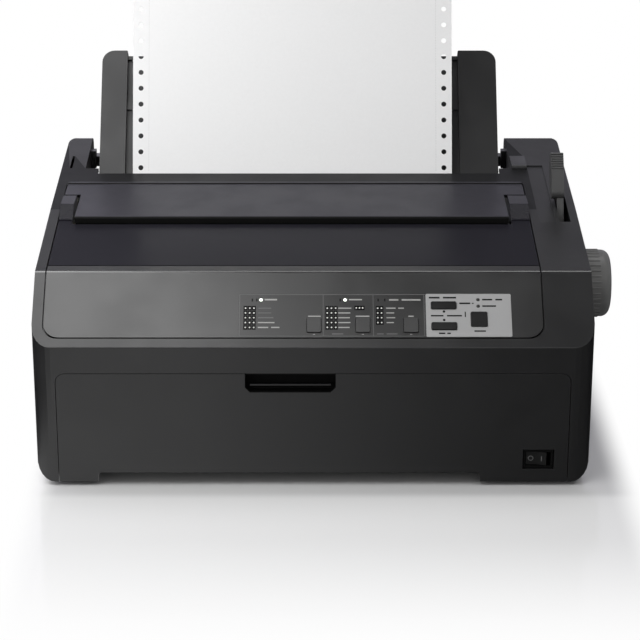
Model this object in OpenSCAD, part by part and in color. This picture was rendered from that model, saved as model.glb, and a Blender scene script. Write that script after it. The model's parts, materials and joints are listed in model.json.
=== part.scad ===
// Narrow-carriage dot matrix printer.
// X runs along the platen, +Y to the rear, +Z up.  The origin is on the table, under the middle of
// the whole machine.  Every module below draws in the case's own frame (X = 0 in the middle of the
// case, Y = 0 at its front face) and place() moves it to the origin.

/* [Case] */
// Width of the case without the knob
case_w = 402; // [390:1:490]
// Depth of the case
case_d = 304; // [304:1:370]
// Thickness of the moulded walls
wall = 2.6; // [2:0.1:3.4]
// Height of the joint between the lower and the upper case
split_z = 30; // [26:1:31]
// Height of the edge where the front face meets the sloping panel
ridge_z = 107; // [100:1:112]
// Distance of the top fold behind the front face
fold_y = 45.5; // [42:0.5:50]
// Height of the top fold
fold_z = 149; // [147:1:160]
// Height of the top where its slope changes
brow_z = 163.5; // [162:0.5:176]
// Height of the top at the rear edge
crest_z = 180.4; // [178:0.2:200]
// Width of the housing to the right of the covers
housing_w = 36; // [32:1:44]
// Width of the rail to the left of the covers
rail_w = 7.5; // [7:0.5:9]

/* [Covers] */
// Gap around covers and panels
cover_gap = 1; // [0.6:0.1:1.2]
// Height of the front cover's top edge
front_cover_top = 87; // [80:1:92]
// Front edge of the smoked printer cover
window_y = 55; // [54:0.5:60]
// Front edge of the eject cover
eject_y = 125.2; // [124:0.2:128]
// Rear edge of the eject cover
eject_rear_y = 203.2; // [200:0.2:206]
// Width of a printer cover hinge arm
arm_w = 10.1; // [9:0.1:12]

/* [Paper] */
// Width of the continuous paper
paper_w = 254; // [216:1:256]
// Thickness of the paper
paper_t = 0.35; // [0.3:0.05:0.5]
// Spacing of the feed holes
hole_pitch = 12.7; // [12.7:0.1:12.7]
// Diameter of a feed hole
hole_d = 4; // [3.8:0.1:4.2]
// Distance from the paper's edge to the middle of a feed hole
hole_inset = 6.35; // [6:0.05:7]
// Lean of the paper behind the exit, from upright
paper_lean = 22; // [18:1:28]
// Length of paper that stands above the exit
paper_up = 150; // [100:1:155]

/* [Platen and gears] */
// Radius of the rubber platen
platen_r = 17; // [15:0.5:17.5]
// Distance of the platen's axis behind the front face
platen_y = 153; // [150:1:156]
// Height of the platen's axis
platen_z = 103; // [100:1:105]
// Radius of the platen's steel shaft
shaft_r = 4; // [3.5:0.1:4.5]
// Diameter of the paper feed knob
knob_d = 53; // [44:1:56]
// How far the knob stands out of the case
knob_reach = 28; // [22:1:32]
// Module of the feed gears
gear_m = 1; // [0.9:0.05:1]
// Teeth on the platen gear
platen_teeth = 44; // [40:4:44]
// Teeth on each idler gear
idler_teeth = 40; // [36:4:40]
// Teeth on the tractor gear
tractor_teeth = 40; // [36:4:40]
// Teeth on the feed motor's pinion
pinion_teeth = 14; // [12:2:16]

/* [Carriage] */
// Radius of the carriage rod
rod_r = 5; // [4:0.25:6]
// Distance of the carriage rod behind the front face
rod_y = 108; // [106:1:110]
// Height of the carriage rod
rod_z = 72; // [70:1:74]
// Radius of the toothed belt pulleys
pulley_r = 6.4; // [5.5:0.1:7]
// Width of the print head's finned block
head_w = 44; // [36:1:50]

/* [Hidden] */
$fn = 48;
eps = 0.01;
// Radial play of a shaft that turns in a hole
running = 0.05;
// Play between parts that pass each other
play = 0.4;

// Main lines of the case
half_w = case_w / 2;
bay_l = -half_w + rail_w;
bay_r = half_w - housing_w;
plan_r_front = 14;
plan_r_rear = 17;
brow_y = 150;
base_z = 3;
tunnel_z = 10;
foot_l = -half_w + 45;
foot_r = half_w - 80;
skid_r = 15;
cover_half = half_w - 17;
cover_bottom = 10.4;
cover_pin = [3.4, 13.2];
shelf_low = cover_pin.y - 1;
slope_a = atan2(fold_z - ridge_z, fold_y);
slope_l = norm([fold_y, fold_z - ridge_z]);
fascia_s = 7.2;
shelf_y = 221.5;
shelf_z = brow_z + 3;
notch_l = bay_l + 11.5;
notch_r = bay_r - 7;
notch_y = 232;
notch_z = 104;
ledge_t = 2.2;
ledge_depth = wall + 0.4;

// Steel side frames that carry the mechanism
frame_t = 2;
frame_l = bay_l + 21.5;
frame_r = bay_r - 23;
frame_foot_z = 20;
inner_l = frame_l + frame_t;
inner_r = frame_r - frame_t;

// Paper path
paper_x = (bay_l + bay_r) / 2 - 2.3;
exit_pt = [shelf_y + 2.5, top_z(shelf_y + 2.5) - 0.6];
wrap_r = platen_r + 0.3 + paper_t / 2;

// Feed gears: one straight train from the platen back to the tractors
gear_x = frame_l - 21.6 + wall;
gear_w = 8;
train_rise = 12;
r_platen = platen_teeth * gear_m / 2;
r_idler = idler_teeth * gear_m / 2;
r_tractor = tractor_teeth * gear_m / 2;
r_pinion = pinion_teeth * gear_m / 2;
mesh_gap = 0.15;
train_l = r_platen + 4 * r_idler + r_tractor + 3 * mesh_gap;
train_a = asin(train_rise / train_l);
idler1 = [platen_y, platen_z] + (r_platen + r_idler + mesh_gap) * [cos(train_a), sin(train_a)];
idler2 = idler1 + (2 * r_idler + mesh_gap) * [cos(train_a), sin(train_a)];
tractor_c = [platen_y, platen_z] + train_l * [cos(train_a), sin(train_a)];
pinion_c = idler1 - [0, r_idler + r_pinion + mesh_gap];
tail_y = tractor_c.x - 39;

// Pin-feed tractors
pins = 8;
wheel_r = pins * hole_pitch / (2 * PI);
hub_r = 9;
square = 6;
rod_drop = 25;
tractor_w = 17;

// Belt drive
belt_y = 88;
belt_z = 66;
belt_t = 1.1;
belt_h = 6;
pulley_l = inner_l + 12;
pulley_right = frame_r + 24;
carriage_home = -118;
head_tip = platen_y - wrap_r - paper_t / 2 - 2.2;
ribbon_y = platen_y - wrap_r - paper_t / 2 - 1.5;

// Release lever
lever_x = bay_r + 24.9;
lever_pin = [platen_y - 6, platen_z + 25];

// Paper guide
guide_a = 36;
guide_pin = [notch_y - 1, top_z(notch_y - 1) - 12.4];
guide_len = 112;
guide_l = paper_x - 154.3;
guide_r = paper_x + 164.5;
channel_l = paper_x - 133.8;
channel_r = paper_x + 133.8;

// ---------------------------------------------------------------- outlines

function cross2(a, b) = a.x * b.y - a.y * b.x;
function unit(v) = v / norm(v);

// An arc of radius r that replaces the corner b between a and c
function arc_corner(a, b, c, r, n = 6) =
  r <= 0 ? [b] :
  let (u = unit(a - b), v = unit(c - b), half = acos(u * v) / 2,
       centre = b + unit(u + v) * r / sin(half),
       p = b + u * r / tan(half) - centre, q = b + v * r / tan(half) - centre,
       a0 = atan2(p.y, p.x), sweep = atan2(cross2(p, q), p * q))
  [for (i = [0 : n]) centre + r * [cos(a0 + sweep * i / n), sin(a0 + sweep * i / n)]];

// A closed outline with its corners rounded
function rounded(pts, radii, n = 6) =
  let (k = len(pts))
  [for (i = [0 : k - 1]) each arc_corner(pts[(i + k - 1) % k], pts[i], pts[(i + 1) % k], radii[i], n)];

// A counter-clockwise outline moved inwards by d
function inset(pts, d) =
  let (k = len(pts))
  [for (i = [0 : k - 1])
    let (u = unit(pts[i] - pts[(i + k - 1) % k]), v = unit(pts[(i + 1) % k] - pts[i]),
         m = [-u.y, u.x], n = [-v.y, v.x])
    pts[i] + d * (m + n) / (1 + m * n)];

// A strip of thickness t along an open line
function band(path, t) =
  let (k = len(path),
       normals = [for (i = [0 : k - 1])
         let (d = unit(path[min(i + 1, k - 1)] - path[max(i - 1, 0)])) [-d.y, d.x]])
  concat([for (i = [0 : k - 1]) path[i] + normals[i] * t / 2],
         [for (i = [k - 1 : -1 : 0]) path[i] - normals[i] * t / 2]);

// Height of the case top at a distance y behind the front face
function top_z(y) = y < brow_y
  ? fold_z + (y - fold_y) * (brow_z - fold_z) / (brow_y - fold_y)
  : brow_z + (y - brow_y) * (crest_z - brow_z) / (case_d - brow_y);

// Side outline of the case, in Y and Z, moved inwards by d
function case_side(d = 0) = rounded(
  inset([[0, 0], [case_d, 0], [case_d, crest_z], [brow_y, brow_z], [fold_y, fold_z], [0, ridge_z]], d),
  [0, 0, max(7 - d, 1), 0, max(4 - d, 1), max(1.5 - d, 0)]);

// ---------------------------------------------------------------- placing

module place() { translate([-knob_reach / 2, -case_d / 2, 0]) children(); }
// Outlines in Y and Z drawn out along X
module along_x(x0, x1) { translate([x0, 0, 0]) rotate([90, 0, 90]) linear_extrude(x1 - x0) children(); }
// Outlines in X and Z drawn out along Y
module along_y(y0, y1) { translate([0, y1, 0]) rotate([90, 0, 0]) linear_extrude(y1 - y0) children(); }
// The sloping panel: X across, Y up the slope, Z out of its face
module on_slope() { translate([0, 0, ridge_z]) rotate([slope_a, 0, 0]) children(); }
// The paper guide: X across, Y up the guide, Z out of its face
module on_guide() { translate([0, guide_pin.x, guide_pin.y]) rotate([90 - guide_a, 0, 0]) children(); }
module block(x, y, z) { translate([x[0], y[0], z[0]]) cube([x[1] - x[0], y[1] - y[0], z[1] - z[0]]); }
module rod(x0, x1, c, r) { translate([x0, c.x, c.y]) rotate([0, 90, 0]) cylinder(r = r, h = x1 - x0); }
module post(x, y, z0, z1, r) { translate([x, y, z0]) cylinder(r = r, h = z1 - z0); }
module rounded_rect(x, y, r)
  { polygon(rounded([[x[0], y[0]], [x[1], y[0]], [x[1], y[1]], [x[0], y[1]]], [r, r, r, r])); }

// ---------------------------------------------------------------- case

// Plan of the case, moved inwards by d
module case_plan(d = 0) {
  polygon(rounded(inset([[-half_w, 0], [half_w, 0], [half_w, case_d], [-half_w, case_d]], d),
    [plan_r_front - d, plan_r_front - d, plan_r_rear - d, plan_r_rear - d]));
}

// Front outline of the lower case: a raised middle between two skids
module tray_front(d = 0) {
  polygon(rounded(inset([[-half_w, base_z], [foot_l, base_z], [foot_l + 1, tunnel_z],
    [foot_r - 1, tunnel_z],
    [foot_r, base_z], [half_w, base_z], [half_w, split_z + 2 * d], [-half_w, split_z + 2 * d]], d),
    [skid_r - d, 0, 0, 0, 0, skid_r - d, 0, 0]));
}

module lower_case() {
  boss = [for (x = [frame_l + 8, frame_r - 8], y = [62, case_d - 26]) [x, y]];
  color([0.16, 0.16, 0.165]) difference() {
    union() {
      difference() {
        intersection() {
          along_y(0, case_d) tray_front();
          linear_extrude(split_z) case_plan();
        }
        intersection() {
          along_y(wall, case_d - wall) tray_front(wall);
          linear_extrude(split_z + 9) case_plan(wall);
        }
      }
      // Lip that centres the upper case
      difference() {
        union() {
          translate([0, 0, split_z - 5]) linear_extrude(5) case_plan(wall - 0.5);
          translate([0, 0, split_z - 1]) linear_extrude(4) case_plan(wall + 0.2);
        }
        translate([0, 0, -1]) linear_extrude(split_z + 9) case_plan(wall + 1.7);
        block([-cover_half - 4, cover_half + 4], [-1, 24], [split_z - 5, split_z + 9]);
        port_windows();
      }
      for (b = boss) post(b.x, b.y, base_z + 1, frame_foot_z, 6);
      for (b = board_posts()) post(b.x, b.y, tunnel_z + 1, board_z, 3.5);
      // Wall behind the mains switch, on a shelf that the front cover's foot swings under
      block([switch_x[0] - 6, cover_half + 1], [7, 9], [shelf_low, split_z]);
      block([switch_x[0] - 6, cover_half + 1], [7, 16.9], [shelf_low, shelf_low + 1.2]);
      block([foot_r - 1, cover_half + 1], [14.9, 16.9], [base_z + 1, shelf_low + 1.2]);
      block([-cover_half - 1, foot_l + 1], [14.9, 16.9], [base_z + 1, split_z - 6]);
      // Spine that the motor stands on
      block([pulley_right - 22, pulley_right + 22], [belt_y - 22, belt_y + 22], [base_z + 1, motor_z]);
    }
    block([-cover_half - play, cover_half + play], [-1, 6.9], [8.2, split_z + 9]);
    // Room for the front cover's feet, which swing inwards as it opens
    for (x = [[-cover_half - play, foot_l + 1.6], [foot_r - 1.6, cover_half + play]])
      block(x, [-1, 14.8], [base_z - 1, shelf_low]);
    block([switch_x[0] + 0.9, switch_x[1] - 0.9], [6, 12], [switch_z[0] + 0.9, switch_z[1] - 0.9]);
    for (x = [-1, 1]) rod(x * (cover_half + 3) - 3.5, x * (cover_half + 3)
      + 3.5, cover_pin, 1.25 + running);
    for (b = boss) post(b.x, b.y, base_z + 4, frame_foot_z + 1, 1.6);
    for (f = feet()) post(f.x, f.y, base_z - 1, base_z + 0.8, 9.2);
    // Air slots under the power supply
    for (i = [0 : 9]) block([34 + 8 * i, 37 + 8 * i], [case_d - 110, case_d - 50], [base_z, tunnel_z + 9]);
  }
}

function feet() = [for (x = [-half_w + 30, half_w - 30], y = [24, case_d - 30]) [x, y]];

module rubber_feet() {
  color([0.1, 0.1, 0.1]) for (f = feet()) {
    post(f.x, f.y, 1, base_z + 0.8, 9);
    post(f.x, f.y, 0, 1, 8.2);
  }
}

// The upper case seen as a solid, moved inwards by d
module case_block(d = 0) {
  intersection() {
    along_x(-half_w + d, half_w - d) polygon(case_side(d));
    translate([0, 0, split_z - (d > 0 ? 1 : 0)]) linear_extrude(crest_z) case_plan(d);
  }
}

// Everything just below the top skin, from depth d0 to depth d1
module under_skin(x0, x1, y0, y1, d0, d1) {
  along_x(x0, x1) intersection() {
    difference() { polygon(case_side(d0)); polygon(case_side(d1)); }
    translate([y0, ridge_z - 12]) square([y1 - y0, 120]);
  }
}

module upper_case() {
  arm_r = bay_r - cover_gap - 17.4;
  color([0.17, 0.17, 0.175]) difference() {
    union() {
      difference() {
        case_block();
        case_block(wall);
        // Bay for the control panel and the covers
        on_slope() translate([0, 0, -9]) linear_extrude(20)
          polygon(rounded([[bay_l, fascia_s], [bay_r, fascia_s], [bay_r, slope_l + 9],
            [bay_l, slope_l + 9]], [11, 11, 0, 0]));
        intersection() {
          along_x(bay_l, bay_r) polygon([[fold_y - 2, fold_z - 12], [eject_rear_y + cover_gap, brow_z - 9],
            [eject_rear_y + cover_gap, crest_z + 9], [fold_y - 2, crest_z + 9]]);
          linear_extrude(crest_z + 9) bay_plan(0);
        }
        // Paper exit and tractor bay
        block([guide_l - 0.5, guide_r + 0.5], [shelf_y, case_d + 1], [notch_z, crest_z + 9]);
        block([notch_l, notch_r], [notch_y, case_d + 1], [notch_z, crest_z + 9]);
        // Front opening
        along_y(-1, wall + 3) polygon(rounded([[-cover_half - play, 0], [cover_half + play, 0],
          [cover_half + play, front_cover_top + play], [-cover_half - play, front_cover_top + play]],
            [0, 0, 7, 7]));
        port_windows();
        inlet_window();
        // Cooling slots in the rear wall
        for (i = [0 : 11]) block([20 + 8 * i, 23.5 + 8 * i], [case_d - 9, case_d + 1], [66, 92]);
      }
      // Walls beside the bay and the ledges that the covers rest on
      under_skin(bay_l - 2, bay_l + 4.5, 8, eject_y - 3, ledge_depth, ledge_depth + ledge_t);
      under_skin(bay_l - 2, bay_l, 8, shelf_y, 1, ledge_depth + ledge_t);
      under_skin(bay_r - 4.5, bay_r + 2, 8, eject_y - 3, ledge_depth, ledge_depth + ledge_t);
      under_skin(bay_r, bay_r + 2, 8, shelf_y, 1, ledge_depth + ledge_t + 14);
      under_skin(bay_l - 2, bay_l + 4.5, 181, shelf_y, ledge_depth, ledge_depth + ledge_t);
      under_skin(bay_r - 4.5, bay_r + 2, 181, shelf_y, ledge_depth, ledge_depth + ledge_t);
      under_skin(bay_l - 2, bay_r + 2, eject_rear_y - 4, eject_rear_y + 3, ledge_depth,
        ledge_depth + ledge_t);
      // Stiffener under the shelf
      intersection() {
        case_block(1);
        block([bay_l, bay_r], [shelf_y - 9, shelf_y - 7], [shelf_z - 7, crest_z]);
      }
      // Inner walls of the two rear blocks
      intersection() {
        case_block(1);
        union() {
          block([notch_l - 2.4, notch_l], [notch_y - 2, case_d], [notch_z, crest_z]);
          block([notch_r, notch_r + 2.4], [notch_y - 2, case_d], [notch_z, crest_z]);
        }
      }
      // Cap over the right-hand guide pivot
      along_x(notch_r + 0.5, notch_r + 12.5) polygon(rounded([[notch_y - 3, top_z(notch_y) - 3],
        [notch_y + 24, top_z(notch_y) - 2], [notch_y + 24, top_z(notch_y) + 4.5],
          [notch_y - 3, top_z(notch_y) + 3]], [0, 0, 3, 2]));
      // Stepped lugs behind the guide, on the inner walls
      for (x = [[notch_l - 1, notch_l + 4.2], [notch_r - 4.2, notch_r + 1]])
        block(x, [276, 284], [160, 174.5]);
      for (x = [[notch_l - 1, guide_l - 0.8], [guide_r + 0.8, notch_r + 1]])
        block(x, [282, 292], [160, 168.5]);
      // Lip under the front strip
      block([-cover_half - play, cover_half + play], [1, 8],
        [front_cover_top + play, front_cover_top + play + 2.2]);
      // Bosses for the printer cover's pins and the lever's pivot
      intersection() {
        case_block(1);
        union() {
          rod(bay_l - 4.5, bay_l, cover_axis, 6);
          rod(bay_r, bay_r + 4.5, cover_axis, 6);
        }
      }
      rod(lever_x - 3.4, half_w - 1, lever_pin, 3);
      rod(lever_x + 3, half_w - 1, lever_pin, 6);
      // Bosses for the guide's pins
      rod(notch_l - 6, notch_l, guide_pin, 6);
      rod(notch_r, notch_r + 6, guide_pin, 6);
    }
    rod(bay_l - 4, bay_l + 1, cover_axis, 2.4 + running);
    rod(bay_r - 1, bay_r + 4, cover_axis, 2.4 + running);
    rod(notch_l - 5, notch_l + 1, guide_pin, 3 + running);
    rod(notch_r - 1, notch_r + 5, guide_pin, 3 + running);
    for (x = [-1, 1]) rod(x * (cover_half + 3) - 3.5, x * (cover_half + 3)
      + 3.5, cover_pin, 1.25 + running);
    // Open slots in the left inner wall, so that the case lifts off over the shafts
    for (c = [tractor_c, idler2]) {
      rod(notch_l - 4, notch_l + 1, c, 4.5);
      block([notch_l - 4, notch_l + 1], [c.x - 4.5, c.x + 4.5], [notch_z - 1, c.y]);
    }
    // Hole for the platen shaft
    rod(bay_r + 20, half_w + 1, [platen_y, platen_z], shaft_r + 3);
    // Slot in the top of the left rear block
    block([bay_l - 1.2, bay_l + 0.9], [notch_y + 0.5, notch_y + 26], [top_z(notch_y) - 4, crest_z + 9]);
    // Slot that the release lever swings in, and the recess beside it
    along_x(lever_x - 3.5, lever_x + 5) polygon([[128, 140], [187, 140], [187, 190], [128, 190]]);
    along_x(bay_r + 6, bay_r + 18.5) polygon([[128, top_z(128) - 0.8], [238, top_z(238) - 0.8],
      [238, top_z(238) + 9], [128, top_z(128) + 9]]);
  }
}

cover_axis = [162, top_z(162) - 4.6];

module control_fascia() {
  color([0.2, 0.2, 0.205]) {
    difference() {
      union() {
        intersection() {
          along_x(bay_l + cover_gap, bay_r - cover_gap) intersection() {
            difference() { polygon(case_side()); polygon(case_side(wall)); }
            square([window_y - 1.2, 200]);
          }
          union() {
            on_slope() translate([0, 0, -9]) linear_extrude(20)
              polygon(rounded([[bay_l + cover_gap, fascia_s + cover_gap],
                [bay_r - cover_gap, fascia_s + cover_gap],
                [bay_r - cover_gap, slope_l + 30], [bay_l + cover_gap, slope_l + 30]], [11, 11, 0, 0]));
          }
        }
        on_slope() for (x = panel_bosses()) translate([x, 33, board_n + 1.6])
          cylinder(r = 2.2, h = -board_n - 1.6 - 1);
      }
      // Pocket for the printed film, and the button holes
      on_slope() {
        translate([0, 0, -0.4]) linear_extrude(2) rounded_rect(overlay_x, overlay_s, 1);
        for (b = BUTTONS) translate([b[0], b[1], -9]) linear_extrude(20)
          rounded_rect([-b[2] / 2 - 0.35, b[2] / 2 + 0.35], [-b[3] / 2 - 0.35, b[3] / 2 + 0.35], 1.2);
        for (p = LAMPS) translate([p.x, p.y, -9]) cylinder(r = 1.35, h = 20);
      }
    }
  }
}

// Buttons as [middle x, middle up the slope, width, height]
BUTTONS = [[0.6, 17.8, 10, 11.2], [35.4, 17.8, 10, 11.2], [69.8, 17.8, 10, 11.2],
  [93.5, 33.9, 17.8, 5.8], [93.6, 17.2, 17.8, 5.8], [118.6, 22.8, 11.4, 11.6]];
LAMPS = [[-37.4, 38.4], [22.9, 38.4], [118.2, 38.6], [118.2, 33.4]];
overlay_x = [-53.4, 141.8];
overlay_s = [8.7, 43.3];
film_split = 80.5;
board_n = -10;
function panel_bosses() = [-46, 20, 53, 132];

module panel_overlay() {
  module film(x, dark) {
    color(dark ? [0.25, 0.25, 0.25] : [0.62, 0.62, 0.62]) on_slope() translate([0, 0, -0.4]) difference() {
      linear_extrude(0.4) rounded_rect(x, overlay_s, 1);
      for (b = BUTTONS) translate([b[0], b[1], -1]) linear_extrude(3)
        rounded_rect([-b[2] / 2 - 0.35, b[2] / 2 + 0.35], [-b[3] / 2 - 0.35, b[3] / 2 + 0.35], 1.2);
      for (p = LAMPS) translate([p.x, p.y, -1]) cylinder(r = 1.35, h = 3);
    }
  }
  film([overlay_x[0], film_split - 0.2], true);
  film([film_split + 0.2, overlay_x[1]], false);
}

module panel_board() {
  on_slope() {
    color([0.1, 0.3, 0.16]) difference() {
      translate([0, 0, board_n]) linear_extrude(1.6)
        rounded_rect([overlay_x[0] - 4, overlay_x[1] + 4], [9, 43], 2);
      for (x = panel_bosses()) translate([x, 33, board_n - 1]) cylinder(r = 1.1, h = 5);
    }
    color([0.1, 0.1, 0.1]) for (b = BUTTONS) translate([b[0] - 2.6, b[1] - 2.6, board_n + 1.6])
      cube([5.2, 5.2, 0.4]);
    color([0.9, 0.9, 0.9]) for (p = LAMPS) translate([p.x, p.y, board_n + 1.6])
      cylinder(r = 1.2, h = -board_n - 1.6);
  }
}

// A sprung key: cap through the fascia, flange behind it and a stem towards the board
module button(b) {
  color([0.28, 0.28, 0.29]) on_slope() translate([b[0], b[1], 0]) {
    translate([0, 0, -wall - 1.6]) linear_extrude(wall + 2.5)
      rounded_rect([-b[2] / 2, b[2] / 2], [-b[3] / 2, b[3] / 2], 0.9);
    translate([0, 0, -wall - 1.3]) linear_extrude(1.2)
      rounded_rect([-b[2] / 2 - 1.2, b[2] / 2 + 1.2], [-b[3] / 2 - 1.2, b[3] / 2 + 1.2], 1);
    translate([0, 0, -7]) cylinder(r = 1.8, h = 6.1 - wall);
  }
}

// ---------------------------------------------------------------- front

switch_x = [half_w - 48.9, half_w - 27.5];
switch_z = [13.7, 27.7];
grip_x = [-48.7, 16.1];

module front_cover() {
  grip_top = front_cover_top - 0.8;
  color([0.16, 0.16, 0.165]) difference() {
    union() {
      along_y(0, wall) polygon(rounded([[-cover_half, base_z + play], [foot_l, base_z + play],
        [foot_l + 1, cover_bottom], [foot_r - 1, cover_bottom], [foot_r, base_z + play],
          [cover_half, base_z + play],
        [cover_half, front_cover_top], [-cover_half, front_cover_top]], [0, 0, 0, 0, 0, 0, 6.5, 6.5]));
      // Side flanges and the stiffening ribs behind the face
      for (x = [-cover_half + 1.2, cover_half - 3.2]) block([x, x + 2], [1, 8], [30, 78]);
      for (x = [-120, -84, 52, 88]) block([x, x + 1.6], [1, 6], [20, 80]);
      for (x = [-1, 1]) rod(x * cover_half - 2.7, x * cover_half + 2.7, cover_pin, 1.25);
      for (x = [-cover_half, cover_half - 6]) along_x(x, x + 6)
        polygon([[1, 10.4], [4.2, 11.4], [5, 13.2], [4.2, 16], [1, 24]]);
      // Pocket behind the finger grip
      block([grip_x[0] - 2, grip_x[1] + 2], [1, 15], [70.5, 86.4]);
    }
    along_y(-1, wall + 0.6) polygon([[grip_x[0] + 3.6, 72.8], [grip_x[1] - 3.6, 72.8], [grip_x[1], 76.5],
      [grip_x[1], 99], [grip_x[0], 99], [grip_x[0], 76.5]]);
    along_x(grip_x[0], grip_x[1])
      polygon([[wall, 72.8], [9, 72.8], [13, 76], [13, 84], [wall, grip_top - 1]]);
    block([switch_x[0] - 0.6, switch_x[1] + 0.6], [-1, 9], [switch_z[0] - 0.6, switch_z[1] + 0.6]);
  }
}

module power_switch_frame() {
  mid = [(switch_x[0] + switch_x[1]) / 2, (switch_z[0] + switch_z[1]) / 2];
  color([0.08, 0.08, 0.08]) difference() {
    union() {
      along_y(1, 7) rounded_rect(switch_x, switch_z, 1);
      along_y(6, 22) rounded_rect(switch_x + [1, -1], switch_z + [1, -1], 0.5);
    }
    block(switch_x + [1.2, -1.8], [0, 15], switch_z + [1.6, -1.6]);
    translate([mid.x - 1, 6, switch_z[0] + 0.8])
      cylinder(r = 1.2 + running, h = switch_z[1] - switch_z[0] - 1.6);
  }
}

module power_rocker() {
  x = (switch_x[0] + switch_x[1]) / 2 - 1;
  z = switch_z + [2, -2];
  color([0.14, 0.14, 0.14]) translate([x, 6, 0]) rotate([0, 0, -7]) {
    translate([0, 0, z[0]]) linear_extrude(z[1] - z[0])
      polygon([[-7.4, -4.6], [0, -3.7], [7.4, -4.6], [7.2, 2], [2, 6], [-2, 6], [-7.2, 2]]);
    translate([0, 0, z[0] - 1.1]) cylinder(r = 1.2, h = z[1] - z[0] + 2.2);
  }
}

// ---------------------------------------------------------------- covers on top

module printer_cover() {
  x0 = bay_l + cover_gap;
  x1 = bay_r - cover_gap;
  rear = eject_y - 1.7;
  color([0.1, 0.1, 0.11]) {
    difference() {
      union() {
        along_x(x0, x1) intersection() {
          difference() { polygon(case_side()); polygon(case_side(2.4)); }
          translate([window_y, 100]) square([rear - window_y, 100]);
        }
        for (a = [[x0, x0 + arm_w], [x1 - arm_w - 4, x1]]) along_x(a[0], a[1]) cover_arm(rear);
        rod(x0 - 3.6, x0 + 1, cover_axis, 2.4);
        rod(x1 - 1, x1 + 3.6, cover_axis, 2.4);
      }
    }
  }
}

// Side outline of a hinge arm: a step and a ramp up to a raised cap over the pin
module cover_arm(rear) {
  c = cover_axis;
  foot = [rear + 7.5, top_z(rear + 7.5)];
  polygon(rounded([[rear - 10, top_z(rear - 10) - 2.4], [rear, top_z(rear) - 2.4], c + [-10, -1],
    c + [-5, -4],
    c + [5, -4], c + [6.5, -1], c + [6.5, 9.2], c + [-17, 9.2], foot + [0, 0.9], foot + [-1.6, 0.9],
      foot + [-1.6, 0],
    [rear - 10, top_z(rear - 10)]], [0, 0, 0, 3, 2, 1, 1.5, 2, 0, 0.4, 0, 0]));
}

// Plan of the bay for the covers, moved inwards by d
module bay_plan(d) {
  polygon(rounded([[bay_l + d, fold_y - 2], [bay_r - d, fold_y - 2],
    [bay_r - d, eject_rear_y + cover_gap - d],
    [bay_l + d, eject_rear_y + cover_gap - d]], [0, 0, 5 - d, 5 - d]));
}

module eject_cover() {
  x0 = bay_l + cover_gap;
  x1 = bay_r - cover_gap;
  front_z = top_z(eject_y) + 5.2;
  rear_z = top_z(eject_rear_y) - 0.1;
  skin = 2.4;
  color([0.26, 0.26, 0.28]) difference() {
    union() {
      // Sheet with a deep front lip and a raised rear bead, rounded at the rear corners
      intersection() {
        along_x(x0, x1) polygon(rounded([[eject_y, top_z(eject_y) + 0.3], [eject_y + 2.2, top_z(eject_y)
          + 0.3],
          [eject_y + 2.2, front_z - skin], [eject_rear_y - 3, rear_z - skin], [eject_rear_y, rear_z - skin],
          [eject_rear_y, rear_z + 0.9], [eject_rear_y - 3.4, rear_z + 0.9],
            [eject_rear_y - 4.2, rear_z - 0.1],
          [eject_y, front_z]], [0, 0, 0, 0, 0, 1.2, 1.2, 0, 2.2]));
        translate([0, 0, 140]) linear_extrude(60) bay_plan(cover_gap);
      }
      // Brackets of the tension rollers
      for (x = roller_brackets()) along_x(x - 1.5, x + 1.5)
        polygon([[170, front_z - 1], [186, rear_z - 3], [183, 142], [173, 140]]);
      // Feet at the rear corners
      for (x = [x0 + 0.4, x1 - 3.4]) along_x(x, x + 3)
        polygon([[184, top_z(184) - ledge_depth + 0.1], [198, top_z(198) - ledge_depth + 0.1],
          [198, rear_z - 1], [184, rear_z - 1]]);
    }
    for (x = [[x0 - 1, x0 + arm_w + 2.4], [x1 - arm_w - 6.2, x1 + 1]])
      block(x, [eject_y - 1, cover_axis.x + 12.5], [140, 200]);
    rod(x0, x1, roller_c, 2 + running);
  }
}

roller_r = 6;
path_a = atan2(160.8 - wrap_top().y, 219.9 - wrap_top().x);
roller_c = wrap_top() + 42 * [cos(path_a), sin(path_a)] + (roller_r + paper_t / 2 + 0.4)
  * [-sin(path_a), cos(path_a)];
function roller_brackets() = [for (i = [-3 : 1 : 3]) paper_x + i * 38];

// Where the paper leaves the top of the platen on its way to the bend below the exit
function wrap_top() =
  let (c = [platen_y, platen_z], b = bend_pt(), d = norm(b - c),
       a = atan2(b.y - c.y, b.x - c.x) + acos(wrap_r / d))
  c + wrap_r * [cos(a), sin(a)];
function bend_pt() = exit_pt - 11 * [sin(paper_lean), cos(paper_lean)];

module tension_rollers() {
  ends = roller_brackets();
  color([0.1, 0.1, 0.1]) {
    rod(ends[0] - 4, ends[len(ends) - 1] + 4, roller_c, 2);
    for (i = [0 : len(ends) - 2]) rod(ends[i] + 9, ends[i + 1] - 9, roller_c, roller_r);
  }
}

module paper_release_lever() {
  a = 65.4;
  dir = [cos(a), sin(a)];
  nor = [-sin(a), cos(a)];
  color([0.5, 0.5, 0.5]) difference() {
    union() {
      rod(lever_x - 2.5, lever_x + 2.5, lever_pin, 7);
      along_x(lever_x - 2.5, lever_x + 2.5) polygon([for (p = [[0, -6], [50, -6], [50, 6], [0, 6]])
        lever_pin + p.x * dir + p.y * nor]);
      // Finger piece
      along_x(lever_x - 6.9, lever_x + 2.7)
        polygon(rounded([for (p = [[50, -8], [72, -8], [79, -5], [79, 5], [64, 9.5], [38.5, 9.5]])
        lever_pin + p.x * dir + p.y * nor], [3, 6, 3, 5, 9, 5]));
      // Ridges for the thumb
      for (i = [0 : 6]) let (p = lever_pin + (66 + 1.9 * i) * dir + (8.8 - 0.55 * i) * nor)
        rod(lever_x - 6.9, lever_x + 2.7, p, 0.7);
    }
    rod(lever_x - 4, lever_x + 4, lever_pin, 3 + running);
  }
}

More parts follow.
